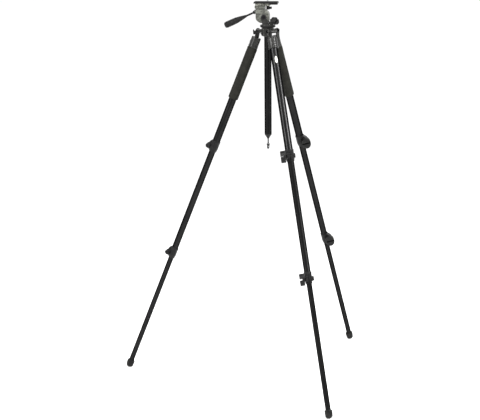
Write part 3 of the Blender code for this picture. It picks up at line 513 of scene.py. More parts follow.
upper_end = CLAMP_DOWN["upper"] - SEAT_ABOVE_SCREW - GAP
middle_end = CLAMP_DOWN["lower"] - SEAT_ABOVE_SCREW - GAP
TUBE_SPANS = {
    "upper": (SLEEVE_TOP + SLEEVE_ROOF + GAP, upper_end),
    "middle": (upper_end - TUBE_OVERLAP, middle_end),
    "lower": (middle_end - TUBE_OVERLAP, LEG_LENGTH - FOOT_SOCKET - GAP),
}
TUBE_BODY = {"upper": "leg", "middle": "middle", "lower": "lower"}


def leg_tube(size):
    top, bottom = TUBE_SPANS[size]
    outer, edge = TUBE_R[size], 0.0004
    wide = outer if size == "upper" else outer + SWAGE
    inner = outer - TUBE_WALL
    return lathe([(inner, -bottom), (outer - edge, -bottom), (outer, -bottom + edge), (outer, -top - 0.0120),
                  (wide, -top - 0.0110), (wide, -top - edge), (wide - edge, -top), (inner, -top)], 64, tube=True)


for size in TUBE_R:
    on_each_leg(leg_tube(size), size + "_tube", TUBE_BODY[size], ANODISED, ON_TUBE)

# %% [markdown]
# ## Leg fittings
# The casting at the top of a leg is a round sleeve over the tube, with one ear that hangs on the pivot
# bolt beside the shoulder's arm. A casting has no sharp inner corners, so the shapes are melted together
# by a remesh and a smooth before the bore and the bolt's hole are cut.

# %% Leg fitting
SLEEVE_R = TUBE_R["upper"] + GAP + 0.0040
EAR_OUTER = 0.0180
EAR_THICK = 0.0050
BOLT_R = 0.0030


def leg_fitting():
    sleeve = moved(lathe(rounded_rings([(0.012, -SLEEVE_BOTTOM), (SLEEVE_R, -SLEEVE_BOTTOM),
                                        (SLEEVE_R, -SLEEVE_BOTTOM + 0.006), (SLEEVE_R - 0.0008, -SLEEVE_BOTTOM + 0.007),
                                        (SLEEVE_R - 0.0008, -SLEEVE_TOP - 0.006), (SLEEVE_R - 0.0008, -SLEEVE_TOP),
                                        (0.012, -SLEEVE_TOP)], 0.0022)), ON_TUBE)
    foot = -SLEEVE_TOP - 0.6 * SLEEVE_LENGTH
    outline = arc((0, 0), 0.0095, -15, 195, 32)
    outline += [(-0.0125, -SLEEVE_TOP + 0.004), (-0.0110, foot), (-0.0010, foot), (0.0040, -SLEEVE_TOP + 0.002)]
    ear = slab(outline, "Y", -EAR_OUTER, -EAR_OUTER + EAR_THICK, 0.0009)
    web = slab([(-0.0085, -0.006), (-0.0040, -0.006), (-0.0035, foot), (-0.0085, foot)],
               "Y", -EAR_OUTER, -0.0120, 0.0008)
    screw_z = -SLEEVE_TOP - 0.022
    set_screw_boss = bar((-TUBE_INSET + 0.010, 0, screw_z), (-TUBE_INSET + SLEEVE_R, 0, screw_z), 0.0045)
    made = cast([sleeve, ear, web, set_screw_boss], 0.0007, 5)
    bore_r = TUBE_R["upper"] + GAP
    bore = moved(lathe([(bore_r, -SLEEVE_BOTTOM - 0.002), (bore_r, -SLEEVE_TOP - SLEEVE_ROOF)], 64), ON_TUBE)
    hole = bar((0, -0.03, 0), (0, 0.01, 0), BOLT_R + GAP)
    beside_lever = brick((-0.012, -EAR_OUTER + EAR_THICK, -0.0225), (0.025, 0.0, 0.012), 0)
    return cut(made, [bore, hole, beside_lever])


on_each_leg(leg_fitting(), "fitting", "leg", DARK_CASTING)

# %% [markdown]
# ## Pivot bolts and angle levers
# The pivot is a cap screw with a hexagon socket and a plain nut. The lever beside it is a pawl: pulled
# outwards, it lets the leg past its first stop.

# %% Pivot bolt
ARM_OUTER = 0.0170
HEAD_R = 0.0062


def pivot_bolt():
    low, high = -EAR_OUTER - GAP, ARM_OUTER + GAP
    body = lathe(rounded_rings([(0.0030, low - 0.0030), (HEAD_R, low - 0.0030), (HEAD_R, low), (BOLT_R, low),
                                (BOLT_R, high + 0.0028)], 0.0007, 3), 48)
    socket = lathe([(0.0030, low - 0.004), (0.0030, low - 0.0012)], 6)
    cut(body, [socket])
    nut = lathe([(HEAD_R - 0.0008, high), (HEAD_R, high + 0.0005), (HEAD_R, high + 0.0024),
                 (HEAD_R - 0.0008, high + 0.0030)], 6)
    return moved(joined([body, nut]), Matrix.Rotation(-pi / 2, 4, "X"))


def on_shoulder(obj, piece, material):
    """Pivot bolts stay with the shoulder when a leg folds."""
    for leg in LEGS:
        copy = obj
        if leg != LEGS[-1]:
            copy = obj.copy()
            copy.data = obj.data.copy()
            bpy.context.scene.collection.objects.link(copy)
        fitted(copy, f"{leg}_{piece}_skin", "shoulder", material, [f"{leg}_{piece}"], leg_axes[leg])


on_shoulder(pivot_bolt(), "pivot_bolt", BLACK_STEEL)
print("pivot bolts on", LEGS)

# %% Angle lever
LEVER_OUTER = EAR_OUTER - EAR_THICK - GAP
LEVER_INNER = LEVER_OUTER - 0.0038


def angle_lever():
    outline = arc((0, 0), 0.0080, 60, 285, 36)
    outline += [(0.0060, -0.0190), (0.0115, -0.0205), (0.0135, -0.0160), (0.0142, -0.0156), (0.0150, -0.0120),
                (0.0160, -0.0116), (0.0170, -0.0082), (0.0180, -0.0078), (0.0190, -0.0044), (0.0190, -0.0036),
                (0.0176, -0.0020), (0.0120, -0.0062), (0.0078, -0.0010)]
    plate = slab(outline, "Y", -LEVER_OUTER, -LEVER_INNER, 0.0005)
    return cut(plate, [bar((0, -0.03, 0), (0, 0, 0), BOLT_R + GAP)])


on_each_leg(angle_lever(), "angle_lever", "lever", BLACK_PLASTIC)

# %% [markdown]
# ## Foam grips
# Two of the legs wear a sleeve of closed-cell foam, cut square at its ends and worn at their edges. A
# soft displacement keeps its side from looking turned on a lathe.

# %% Foam grips
FOAM_R = TUBE_R["upper"] + GAP + 0.0045
FOAM_LENGTH = 0.216


def foam_grip():
    top = -SLEEVE_BOTTOM - GAP
    bottom = top - FOAM_LENGTH
    bore = TUBE_R["upper"] + GAP
    rings = [(bore, top), (FOAM_R - 0.0022, top), (FOAM_R, top - 0.0026), (FOAM_R, top - 0.016)]
    rings += [(FOAM_R - 0.0001, top - 0.016 - (FOAM_LENGTH - 0.032) * i / 60) for i in range(1, 60)]
    rings += [(FOAM_R, bottom + 0.016), (FOAM_R, bottom + 0.0026), (FOAM_R - 0.0022, bottom), (bore, bottom)]
    sleeve = lathe(rings, 96, tube=True)
    uneven = bpy.data.textures.new("uneven_foam", "CLOUDS")
    uneven.noise_scale = 0.018
    outside = sleeve.vertex_groups.new(name="outside")
    outside.add([v.index for v in sleeve.data.vertices if v.co.xy.length > bore + 0.001], 1.0, "REPLACE")
    with_modifier(sleeve, "DISPLACE", texture=uneven, strength=0.0006, mid_level=0.75, vertex_group="outside")
    bpy.data.textures.remove(uneven)
    return sleeve


on_each_leg(foam_grip(), "foam_grip", "leg", FOAM, ON_TUBE, legs=("left", "rear"))

# %% [markdown]
# ## Leg clamps
# A clamp is a moulded collar round the end of the outer tube. Its lug is split down the middle, and a
# knob on a screw draws the halves together on the inner tube. The lug is square at the bottom and slopes
# up to the collar at the top.

# %% Leg clamps
CLAMP_TURN = {"left": radians(-20), "front": radians(-20), "rear": radians(-50)}
CLAMP_ABOVE, CLAMP_BELOW = 0.028, 0.017
NUT_R = 0.0095
LUG_HALF_WIDTH = 0.0130
SLOT = 0.0016
NUT_LENGTH = 0.0070
BOSS_PROUD = 0.001
KNOB_HUB = 0.0015             # a knob's hub behind its grip
KNOB_CLEAR = 0.0005           # the grip to the collar


def screw_out(outer):
    return outer + GAP + 0.0015 + BOLT_R + GAP


def clamp_places(which, out=0):
    """For each leg, the matrix that puts a clamp's piece on the leg, this far from the tube's axis."""
    return {leg: Matrix.Translation((-TUBE_INSET, 0, -CLAMP_DOWN[which])) @ Matrix.Rotation(turn, 4, "Z")
            @ Matrix.Translation((out, 0, 0)) for leg, turn in CLAMP_TURN.items()}


def boss_end(outer):
    return max(LUG_HALF_WIDTH + BOSS_PROUD, outer + 0.0025 + KNOB_CLEAR - KNOB_HUB - GAP)


def leg_clamp(outer, inner):
    collar, skirt = outer + 0.0025, inner + 0.0022
    lip = collar - 0.0005
    body = lathe(rounded_rings([(inner - 0.001, -CLAMP_BELOW), (skirt, -CLAMP_BELOW),
                                (skirt + 0.0006, -CLAMP_BELOW + 0.004), (lip, -0.0040),
                                (lip, CLAMP_ABOVE - 0.0075), (collar, CLAMP_ABOVE - 0.0068),
                                (collar, CLAMP_ABOVE), (inner - 0.001, CLAMP_ABOVE)], 0.0010, 3))
    reach = collar + 0.0110
    half = 0.0100
    outline = rounded_outline([(outer - 0.002, -half - 0.001), (reach - 0.0002, -half - 0.001),
                               (reach, half - 0.001), (reach - 0.0025, half + 0.0010),
                               (outer - 0.002, CLAMP_ABOVE - 0.003)], 0.0018)
    lug = slab(outline, "Y", -LUG_HALF_WIDTH, LUG_HALF_WIDTH, 0.0011)
    x = screw_out(outer)
    nut = bar((x, LUG_HALF_WIDTH - 0.003, 0), (x, LUG_HALF_WIDTH + NUT_LENGTH, 0), NUT_R - 0.0001, bevel=0.0012)
    boss = bar((x, -LUG_HALF_WIDTH + 0.003, 0), (x, -boss_end(outer), 0), 0.0066)
    made = cast([body, lug, nut, boss], 0.0007, 4)
    cutters = [lathe([(outer + GAP, SEAT_ABOVE_SCREW), (outer + GAP, CLAMP_ABOVE + 0.001)]),
               lathe([(inner + GAP, -CLAMP_BELOW - 0.001), (inner + GAP, SEAT_ABOVE_SCREW + 0.001)]),
               bar((x, -0.05, 0), (x, 0.05, 0), BOLT_R + GAP),
               brick((inner - 0.002, -SLOT / 2, -CLAMP_BELOW - 0.001), (reach + 0.002, SLOT / 2, 0.013), 0)]
    return cut(made, cutters)


CLAMP_TUBES = {"upper": ("upper", "middle"), "lower": ("middle", "lower")}
CLAMP_BODY = {"upper": "leg", "lower": "middle"}
for which, (outside, inside) in CLAMP_TUBES.items():
    on_each_leg(leg_clamp(TUBE_R[outside], TUBE_R[inside]), which + "_clamp", CLAMP_BODY[which],
                BLACK_PLASTIC, clamp_places(which))

# %% [markdown]
# ## Grooved knobs
# The same knob, in two sizes, tightens the clamps and locks the pan. It is a thick oval with a groove for
# the fingers across its end, which leaves two blunt wings, and the screw comes out of its hub.

# %% Grooved knobs
KNOB_SPAN = 0.0235            # half the knob's longer width
KNOB_SLIM = 0.75              # its shorter width over its longer one
KNOB_GROOVE = 0.0056
KNOB_GROOVE_DEPTH = 0.60      # of the knob's length
KNOB_LENGTH = 0.0185


def grooved_knob(start, shank, span, length):
    """A grooved oval knob about its own Y axis, with its screw from shank down to the hub."""
    root = start - KNOB_HUB
    tip = root - length
    outline = [(KNOB_SLIM * span * cos(tau * i / 96), span * sin(tau * i / 96)) for i in range(96)]
    oval = slab(outline, "Y", tip, root, 0.0024, 4)
    half, floor = KNOB_GROOVE / 2, tip + KNOB_GROOVE_DEPTH * length
    corners = [(tip - 0.002, -half), (floor, -half), (floor, half), (tip - 0.002, half)]
    channel = rounded_outline(corners, 0.0022)
    cut(oval, [slab(channel, "X", -0.03, 0.03, 0)])
    hub = bar((0, start, 0), (0, root - 0.002, 0), 0.0066, bevel=0.0005)
    screw = bar((0, shank, 0), (0, root - 0.002, 0), BOLT_R)
    return joined([cast([oval, hub], 0.0006, 4), screw])


for which, (outside, inside) in CLAMP_TUBES.items():
    knob_start = -boss_end(TUBE_R[outside]) - GAP
    knob = grooved_knob(knob_start, LUG_HALF_WIDTH + NUT_LENGTH - 0.001, KNOB_SPAN, KNOB_LENGTH)
    place = clamp_places(which, screw_out(TUBE_R[outside]))
    on_each_leg(knob, which + "_clamp_knob", which + "_knob", BLACK_PLASTIC, place)

# %% [markdown]
# ## Feet
# A rubber foot is a socket on the tube and a ball. The ball stands on the floor, so its lowest part is
# cut off level with it. The floor is not square to the leg, so the cut is made with the leg's own up.

# %% Feet
FOOT_R = 0.0155


def foot():
    bore = TUBE_R["lower"] + GAP
    floor = -LEG_LENGTH + FOOT_SOCKET
    top = -LEG_LENGTH + 0.0175
    rings = [(bore, floor), (bore, top), (bore + 0.0016, top), (bore + 0.0022, top - 0.0006),
             (bore + 0.0024, top - 0.0016), (FOOT_R - 0.0012, top - 0.0026), (FOOT_R - 0.0003, top - 0.0038),
             (FOOT_R - 0.0003, top - 0.0066), (FOOT_R - 0.0012, top - 0.0074), (FOOT_R - 0.0012, top - 0.0086),
             (FOOT_R - 0.0001, top - 0.0096)]
    rings += arc((0, -LEG_LENGTH), FOOT_R, -26, -88, 14)
    made = moved(lathe(rings), ON_TUBE)
    up = leg_axes["left"].to_3x3().inverted() @ Vector((0, 0, 1))
    pivot_height = leg_axes["left"].translation.z
    only(made)
    bpy.ops.object.mode_set(mode="EDIT")
    bpy.ops.mesh.select_all(action="SELECT")
    bpy.ops.mesh.bisect(plane_co=-up * pivot_height, plane_no=up, use_fill=True, clear_inner=True)
    bpy.ops.object.mode_set(mode="OBJECT")
    return facing_out(made)


on_each_leg(foot(), "foot", "lower", RUBBER, smooth=40)

# %% [markdown]
# ## The badge
# The front leg has no foam. It carries a small pale oval plate, bent round the tube. Here it is plain.

# %% Badge
def badge():
    middle = -SLEEVE_BOTTOM - 0.047
    low, high = TUBE_R["upper"] + GAP, TUBE_R["upper"] + GAP + 0.0006
    rim = [(0.00555 * cos(tau * i / 48), middle + 0.0137 * sin(tau * i / 48)) for i in range(48)]
    plate = slab(rim, "X", low, high, 0.0002, 2)
    with_modifier(plate, "SUBSURF", subdivision_type="SIMPLE", levels=1, render_levels=1)
    for vertex in plate.data.vertices:
        distance = vertex.co.x
        vertex.co.x = distance * cos(vertex.co.y / distance)
        vertex.co.y = distance * sin(vertex.co.y / distance)
    return moved(plate, ON_TUBE @ Matrix.Rotation(radians(-10), 4, "Z"))


fitted(badge(), "front_badge_skin", "front_leg", BADGE, ["front_badge"], leg_axes["front"])

# %% [markdown]
# ## The shoulder
# One casting carries everything: a hub round the column, an arm for each leg, and a boss for the screw
# that locks the column. The shapes are melted together like the leg fittings, and the holes are cut last.

# %% Shoulder
PIVOT_RADIUS = 0.040
COLUMN_R = 0.0140
HUB_R = 0.0260
HUB_THICK = 0.0160
HUB_SLEEVE_R = 0.0170
HUB_SLEEVE_DROP = 0.0150
ARM_THICK = 0.0130
ARM_INNER = LEVER_INNER - GAP
pivot_z = leg_axes["left"].translation.z
shoulder_top = pivot_z + ARM_THICK / 2 + 0.0025
hub_bottom = shoulder_top - HUB_THICK
lock_z = joints["column_lock_turn"]["pos_m"][2]
lock_axis = Vector(joints["column_lock_turn"]["axis"])
lock_turn = Vector((1, 0, 0)).rotation_difference(lock_axis).to_matrix().to_4x4()
LOCK_BOSS_END = 0.0270


def shoulder():
    low = hub_bottom - HUB_SLEEVE_DROP
    hub = lathe(rounded_rings([(0.012, low), (HUB_SLEEVE_R, low), (HUB_SLEEVE_R, hub_bottom),
                               (HUB_R, hub_bottom), (HUB_R, shoulder_top), (0.012, shoulder_top)], 0.0018), 96)
    half = ARM_THICK / 2
    outline = [(0.018, pivot_z - half), (PIVOT_RADIUS, pivot_z - half)]
    outline += arc((PIVOT_RADIUS, pivot_z), half, -80, 80, 24)
    outline += [(PIVOT_RADIUS, pivot_z + half), (0.018, pivot_z + half)]
    pocket = rounded_outline([(0.0335, 0.0015), (0.0335, 0.0085), (0.0245, 0.0085), (0.0245, 0.0015)], 0.002)
    shapes, holes = [hub], [lathe([(COLUMN_R + GAP, low - 0.002), (COLUMN_R + GAP, shoulder_top + 0.002)])]
    for leg in LEGS:
        outward = leg_axes[leg].translation - column_at
        turn = Matrix.Rotation(Vector((1, 0)).angle_signed(Vector((outward.x, -outward.y))), 4, "Z")
        shapes.append(moved(slab(outline, "Y", -ARM_INNER, ARM_OUTER, 0.0009), turn))
        holes.append(moved(bar((PIVOT_RADIUS, -0.03, pivot_z), (PIVOT_RADIUS, 0.03, pivot_z), BOLT_R + GAP), turn))
        holes.append(moved(slab(pocket, "Z", pivot_z + half - 0.0012, pivot_z + half + 0.02, 0), turn))
    boss = bar((0.0220, 0, hub_bottom - 0.002), (0.0220, 0, shoulder_top - 0.001), 0.0075, bevel=0.001)
    shapes.append(moved(boss, Matrix.Rotation(-2 * pi / 3, 4, "Z")))
    shapes.append(moved(bar((0.010, 0, lock_z), (LOCK_BOSS_END, 0, lock_z), 0.0080, bevel=0.001), lock_turn))
    holes.append(moved(bar((0.005, 0, lock_z), (0.040, 0, lock_z), BOLT_R + GAP), lock_turn))
    return cut(cast(shapes, 0.0008, 5), holes)


fitted(shoulder(), "shoulder_skin", "shoulder", DARK_CASTING, ["spider"], column_axis)
print("shoulder top at", round(shoulder_top, 4))

# %% Column lock
def column_lock_knob():
    start = LOCK_BOSS_END + GAP
    reach = [0.0112 + 0.0007 * cos(6 * tau * i / 120) for i in range(120)]
    outline = [(r * cos(tau * i / 120), r * sin(tau * i / 120)) for i, r in enumerate(reach)]
    grip = slab(outline, "X", start + 0.004, start + 0.020, 0.0012, 4)
    dish = bar((start + 0.0190, 0, 0), (start + 0.03, 0, 0), 0.0070, bevel=0)
    cut(grip, [dish])
    neck = bar((start, 0, 0), (start + 0.006, 0, 0), 0.0070, bevel=0.0008)
    screw = bar((COLUMN_R + 0.0010, 0, 0), (start + 0.002, 0, 0), BOLT_R)
    return joined([grip, neck, screw])


lock_place = Matrix.Translation(joints["column_lock_turn"]["pos_m"]) @ lock_turn
fitted(column_lock_knob(), "column_lock_knob_skin", "column_lock", BLACK_PLASTIC,
       ["column_lock_knob"], lock_place)

# %% [markdown]
# ## The centre column
# A 28 mm tube slides in the shoulder. A disc on a plug closes its top and carries the head. A tapered
# plug closes its bottom, and ends in a rod with an eye where a ring hangs, for a bag of ballast.

# %% Column, disc and end cap
COLUMN_WALL = 0.0015
PLUG_R = COLUMN_R - COLUMN_WALL - GAP
STUD_R = 0.0048
FLANGE_R, FLANGE_THICK = 0.0230, 0.0032
column_low, column_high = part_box("centre_column")[0].z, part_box("centre_column")[1].z
inner = COLUMN_R - COLUMN_WALL
column = lathe([(inner, column_low), (COLUMN_R - 0.0004, column_low), (COLUMN_R, column_low + 0.0004),
                (COLUMN_R, column_high - 0.0004), (COLUMN_R - 0.0004, column_high), (inner, column_high)],
               64, tube=True)
fitted(column, "centre_column_skin", "column", ANODISED, ["centre_column"], column_axis)

flange_low = shoulder_top + GAP
flange_top = flange_low + FLANGE_THICK
flange = lathe(rounded_rings([(0.010, flange_low - 0.016), (PLUG_R, flange_low - 0.016), (PLUG_R, flange_low),
                              (FLANGE_R, flange_low), (FLANGE_R, flange_top), (STUD_R, flange_top),
                              (STUD_R, flange_top + 0.004), (0.003, flange_top + 0.004)], 0.0008, 3), 96)
fitted(flange, "column_flange_skin", "column", DARK_CASTING, ["column_flange"], column_axis)

EYE_R, EYE_WIRE_R = 0.0050, 0.0016
rim = column_low - GAP
rod_bottom = rim - 0.038
eye_z = joints["hook_swing"]["pos_m"][2]
hook_x, hook_y, _ = joints["hook_swing"]["axis"]
hook_turn = Vector((0, 1, 0)).rotation_difference(Vector((-hook_y, hook_x, 0)))


def wire_ring(radius, wire, height, turn):
    bpy.ops.object.select_all(action="DESELECT")
    bpy.ops.mesh.primitive_torus_add(major_radius=radius, minor_radius=wire, major_segments=64, minor_segments=20)
    return moved(bpy.context.object, Matrix.Translation((0, 0, height)) @ turn)


def end_cap():
    body = lathe(rounded_rings([(PLUG_R - 0.001, column_low + 0.010), (PLUG_R, column_low + 0.009), (PLUG_R, rim),
                                (COLUMN_R, rim), (COLUMN_R, rim - 0.0035), (0.0046, rim - 0.0175),
                                (0.0026, rim - 0.0215), (0.0026, rod_bottom), (0.0018, rod_bottom)], 0.0022, 5), 64)
    across = hook_turn.to_matrix().to_4x4() @ Matrix.Rotation(pi / 2, 4, "Y")
    return joined([body, wire_ring(EYE_R, EYE_WIRE_R, eye_z, across)])


fitted(end_cap(), "column_end_cap_skin", "column", BLACK_PLASTIC,
       ["column_end_cap"], column_axis)
facing = hook_turn.to_matrix().to_4x4() @ Matrix.Rotation(pi / 2, 4, "X")
RING_R, RING_WIRE_R = 0.0080, 0.0021
fitted(wire_ring(RING_R, RING_WIRE_R, eye_z - RING_R, facing), "column_hook_skin", "hook",
       BLACK_STEEL, ["column_hook"], column_axis)
print("ring hangs from", round(eye_z, 4))

# %% [markdown]
# ## The head: pan base and housing
# The base is a disc with a knurled edge and stays with the column. The housing turns on it: a second disc
# with two cheeks that hold the tilt axle, and a post for the screw that locks the pan.

# %% Pan base
PAN_R = 0.0300
PAN_BASE_THICK = 0.0060
SPIGOT_R, SPIGOT_HEIGHT = 0.0100, 0.0020


def pan_base():
    teeth = [(PAN_R - 0.00035 + 0.0003 * cos(72 * tau * i / 288)) for i in range(288)]
    outline = [(r * cos(tau * i / 288), r * sin(tau * i / 288)) for i, r in enumerate(teeth)]
    edge = slab(outline, "Z", 0.0026, PAN_BASE_THICK, 0)
    under = lathe(rounded_rings([(FLANGE_R - 0.002, 0), (PAN_R - 0.004, 0), (PAN_R - 0.0008, 0.0026),
                                 (0.02, 0.0028)], 0.0006), 96)
    spigot = bar((0, 0, 0.004), (0, 0, PAN_BASE_THICK + SPIGOT_HEIGHT), SPIGOT_R, 64)
    return joined([edge, under, spigot])


fitted(pan_base(), "pan_base_skin", "column", BLACK_PLASTIC, ["pan_base"], pan_axes)

# %% Pan housing
PAN_PLATE_THICK = 0.0060
CHEEK_GAP, CHEEK_THICK, CHEEK_R = 0.0330, 0.0070, 0.0110
TILT_BACK, TILT_HEIGHT = 0.0130, 0.0410
AXLE_R = 0.0040
GROOVE_DROP = 0.0306
PAN_LOCK_Z, PAN_LOCK_END = 0.0280, 0.0335
POST_OUT, POST_R = 0.0235, 0.0065
housing_low = PAN_BASE_THICK + GAP
housing_top = housing_low + PAN_PLATE_THICK
pan_lock_axis = Vector(joints["pan_lock_turn"]["axis"])
pan_lock_turn = Vector((1, 0, 0)).rotation_difference(pan_lock_axis).to_matrix().to_4x4()


def pan_housing():
    disc = lathe(rounded_rings([(0.008, housing_low), (PAN_R, housing_low), (PAN_R, housing_top),
                                (0.008, housing_top)], 0.0016), 96)
    cheek = [(-0.0180, housing_top - 0.0010), (0.0100, housing_top - 0.0010)]
    cheek += arc((-TILT_BACK, TILT_HEIGHT), CHEEK_R, -15, 190, 40)
    inside = CHEEK_GAP / 2
    shapes = [disc]
    for side in (-1, 1):
        near, far = sorted((side * inside, side * (inside + CHEEK_THICK)))
        shapes.append(slab(cheek, "Y", near, far, 0.0012))
    post = bar((POST_OUT, 0, housing_top - 0.002), (POST_OUT, 0, PAN_LOCK_Z + 0.006), POST_R, bevel=0.002)
    boss = bar((POST_OUT - 0.002, 0, PAN_LOCK_Z), (PAN_LOCK_END, 0, PAN_LOCK_Z), 0.0060, bevel=0.0006)
    shapes += [moved(post, pan_lock_turn), moved(boss, pan_lock_turn)]
    made = cast(shapes, 0.0006, 5)
    floor = TILT_HEIGHT - GROOVE_DROP
    holes = [brick((-0.045, -inside, floor), (0.011, inside, housing_top + 0.001), 0),
             brick((-0.045, -inside, floor + 0.001), (0.0060, inside, 0.06), 0),
             bar((-TILT_BACK, -0.04, TILT_HEIGHT), (-TILT_BACK, 0.04, TILT_HEIGHT), AXLE_R + GAP, bevel=0),
             moved(bar((0.0185, 0, PAN_LOCK_Z), (0.04, 0, PAN_LOCK_Z), BOLT_R + GAP, bevel=0), pan_lock_turn),
             bar((0, 0, housing_low - 0.001), (0, 0, housing_low + SPIGOT_HEIGHT + GAP), SPIGOT_R + GAP, 64, bevel=0)]
    return cut(made, holes)


fitted(pan_housing(), "pan_housing_skin", "pan", DARK_CASTING, ["pan_housing"], pan_axes)
print("housing from", round(housing_low, 4), "to", TILT_HEIGHT + CHEEK_R)

# %% Pan lock and tilt axle
pan_knob = grooved_knob(-PAN_LOCK_END - GAP, -0.0200, 0.0165, 0.0170)
pan_knob_place = pan_axes @ Matrix.Translation((0, 0, PAN_LOCK_Z)) @ pan_lock_turn @ Matrix.Rotation(pi / 2, 4, "Z")
fitted(pan_knob, "pan_lock_knob_skin", "pan_lock", BLACK_PLASTIC, ["pan_lock_knob"],
       pan_knob_place @ Matrix.Rotation(-pi / 4, 4, "Y"))

AXLE_HEAD_R, AXLE_HEAD_THICK = 0.0075, 0.0030


def tilt_axle():
    face = CHEEK_GAP / 2 + CHEEK_THICK + GAP
    end = face + AXLE_HEAD_THICK
    body = lathe(rounded_rings([(0.004, -end), (AXLE_HEAD_R, -end), (AXLE_HEAD_R, -face), (AXLE_R, -face),
                                (AXLE_R, face), (AXLE_HEAD_R, face), (AXLE_HEAD_R, end), (0.004, end)], 0.0010), 64)
    slot = brick((-0.02, -0.0007, -end - 0.001), (0.02, 0.0007, -end + 0.0014), 0)
    return moved(cut(body, [slot]), Matrix.Rotation(-pi / 2, 4, "X"))


fitted(tilt_axle(), "tilt_axle_skin", "pan", BLACK_STEEL, ["tilt_axle"], tilt_axes)

# %% [markdown]
# ## The tilting body
# The light casting between the cheeks. It is a drum on the axle with a neck above it, a flange that
# carries the plate's tray, and a socket for the handle. It is drawn about the tilt axle.

# %% Tilting body
BODY_HIGH = 0.0839 - TILT_HEIGHT
BODY_HALF, BODY_WIDE_HALF = 0.0160, 0.0210
HANDLE_ROD_R = 0.0036
socket_at = Vector(joints["handle_twist"]["pos_m"]) - tilt_axes.translation
handle_way = Vector(joints["handle_twist"]["axis"])


def tilt_body():
    drum = [(-0.0330, 0.0170), (-0.0330, -0.0050), (-0.0310, -0.0120), (-0.0250, -0.0175), (-0.0197, -0.0210),
            (-0.0137, -0.0233), (0, -0.0240), (0.0100, -0.0225), (0.0170, -0.0180), (0.0210, -0.0120),
            (0.0210, 0.0102), (0.0180, 0.0182), (0.0134, 0.0237), (0.0056, 0.0292), (-0.0270, 0.0292),
            (-0.0330, 0.0250)]
    neck = [(-0.0330, 0.0150), (0.0160, 0.0170), (0.0070, 0.0260), (0.0050, 0.0292), (0.0040, BODY_HIGH - 0.0110),
            (0.0040, BODY_HIGH), (-0.0350, BODY_HIGH), (-0.0350, BODY_HIGH - 0.0110), (-0.0275, 0.0292)]
    shapes = [slab(rounded_outline(drum, 0.004), "Y", -BODY_HALF, BODY_HALF, 0.0055, 6),
              slab(rounded_outline(neck, 0.002), "Y", -BODY_HALF + 0.0012, BODY_HALF - 0.0012, 0.0042, 5),
              brick((-0.0354, -BODY_WIDE_HALF, BODY_HIGH - 0.0098), (0.0044, BODY_WIDE_HALF, BODY_HIGH), 0.0016),
              bar(socket_at - 0.006 * handle_way, socket_at + 0.004 * handle_way, 0.0085, bevel=0.001)]
    for side in (-1, 1):
        ring = bar((0, side * (BODY_HALF - 0.002), 0), (0, side * (BODY_HALF + 0.0003), 0), 0.0120, 64, bevel=0.0005)
        shapes.append(ring)
    made = cast(shapes, 0.0006, 6)
    return cut(made, [bar((0, -0.04, 0), (0, 0.04, 0), AXLE_R + GAP, bevel=0),
                      bar(socket_at - 0.010 * handle_way, socket_at + 0.010 * handle_way, HANDLE_ROD_R + GAP, bevel=0)])


fitted(tilt_body(), "tilt_body_skin", "tilt", LIGHT_CASTING, ["tilt_body"], tilt_axes)

# %% [markdown]
# ## The handle
# A steel rod screws into the socket, with a knurled collar to lock it. The rubber grip swells towards
# its end and is ribbed where the fingers close on it.

# %% Handle
COLLAR_LENGTH = 0.0075
HANDLE_ROD_LENGTH = 0.045
GRIP_LENGTH, GRIP_R = 0.091, 0.0128
along_handle = handle_way.to_track_quat("Z", "Y").to_matrix().to_4x4()
handle_axes = tilt_axes @ Matrix.Translation(socket_at) @ along_handle


def handle_collar():
    start = 0.004 + GAP
    end = start + COLLAR_LENGTH
    body = lathe(rounded_rings([(0.0040, start), (0.0064, start), (0.0064, end - 0.0025), (0.0050, end), (0.0040, end)],
                               0.0005), 64, tube=True)
    teeth = [0.0063 + 0.0003 * cos(24 * tau * i / 144) for i in range(144)]
    outline = [(r * cos(tau * i / 144), r * sin(tau * i / 144)) for i, r in enumerate(teeth)]
    knurl = slab(outline, "Z", start + 0.0008, end - 0.0030, 0)
    cut(knurl, [bar((0, 0, -0.01), (0, 0, 0.03), 0.0045, bevel=0)])
    return joined([body, knurl])


def handle_grip():
    start = 0.004 + COLLAR_LENGTH + HANDLE_ROD_LENGTH - 0.014
    end = start + GRIP_LENGTH
    bore = HANDLE_ROD_R + GAP
    shape = [(0.0052, start), (0.0060, start + 0.006), (0.0100, start + 0.026),
             (GRIP_R - 0.0006, start + 0.042), (GRIP_R, start + 0.060), (GRIP_R, end - 0.012),
             (GRIP_R - 0.0012, end - 0.004)]
    rings = [(bore, start + 0.0145), (bore, start), (0.0046, start), (0.0052, start + 0.0006)]
    steps = 120
    for i in range(1, steps):
        z = start + 0.0010 + (GRIP_LENGTH - 0.0050) * i / steps
        radius = next(a[0] + (b[0] - a[0]) * (z - a[1]) / (b[1] - a[1])
                      for a, b in zip(shape, shape[1:]) if z <= b[1])
        ribbed = start + 0.026 < z < end - 0.012
        groove = 0.0005 * (0.5 + 0.5 * cos(tau * (z - start) / 0.0042)) if ribbed else 0
        rings.append((radius - 0.0002 - groove, z))
    rings += [(GRIP_R - 0.0020, end - 0.0028), (GRIP_R - 0.0032, end - 0.0012),
              (GRIP_R - 0.0055, end - 0.0002), (0.003, end)]
    return lathe(rings, 64)


rod_end = 0.004 + COLLAR_LENGTH + HANDLE_ROD_LENGTH
rod = lathe([(HANDLE_ROD_R - 0.0005, -0.0090), (HANDLE_ROD_R, -0.0085), (HANDLE_ROD_R, rod_end - 0.0005),
             (HANDLE_ROD_R - 0.0005, rod_end)], 48)
fitted(handle_collar(), "handle_collar_skin", "handle", BLACK_PLASTIC,
       ["handle_collar"], handle_axes)
fitted(rod, "handle_rod_skin", "handle", BLACK_STEEL, ["handle_rod"], handle_axes)
fitted(handle_grip(), "handle_grip_skin", "handle", RUBBER, ["handle_grip"], handle_axes)

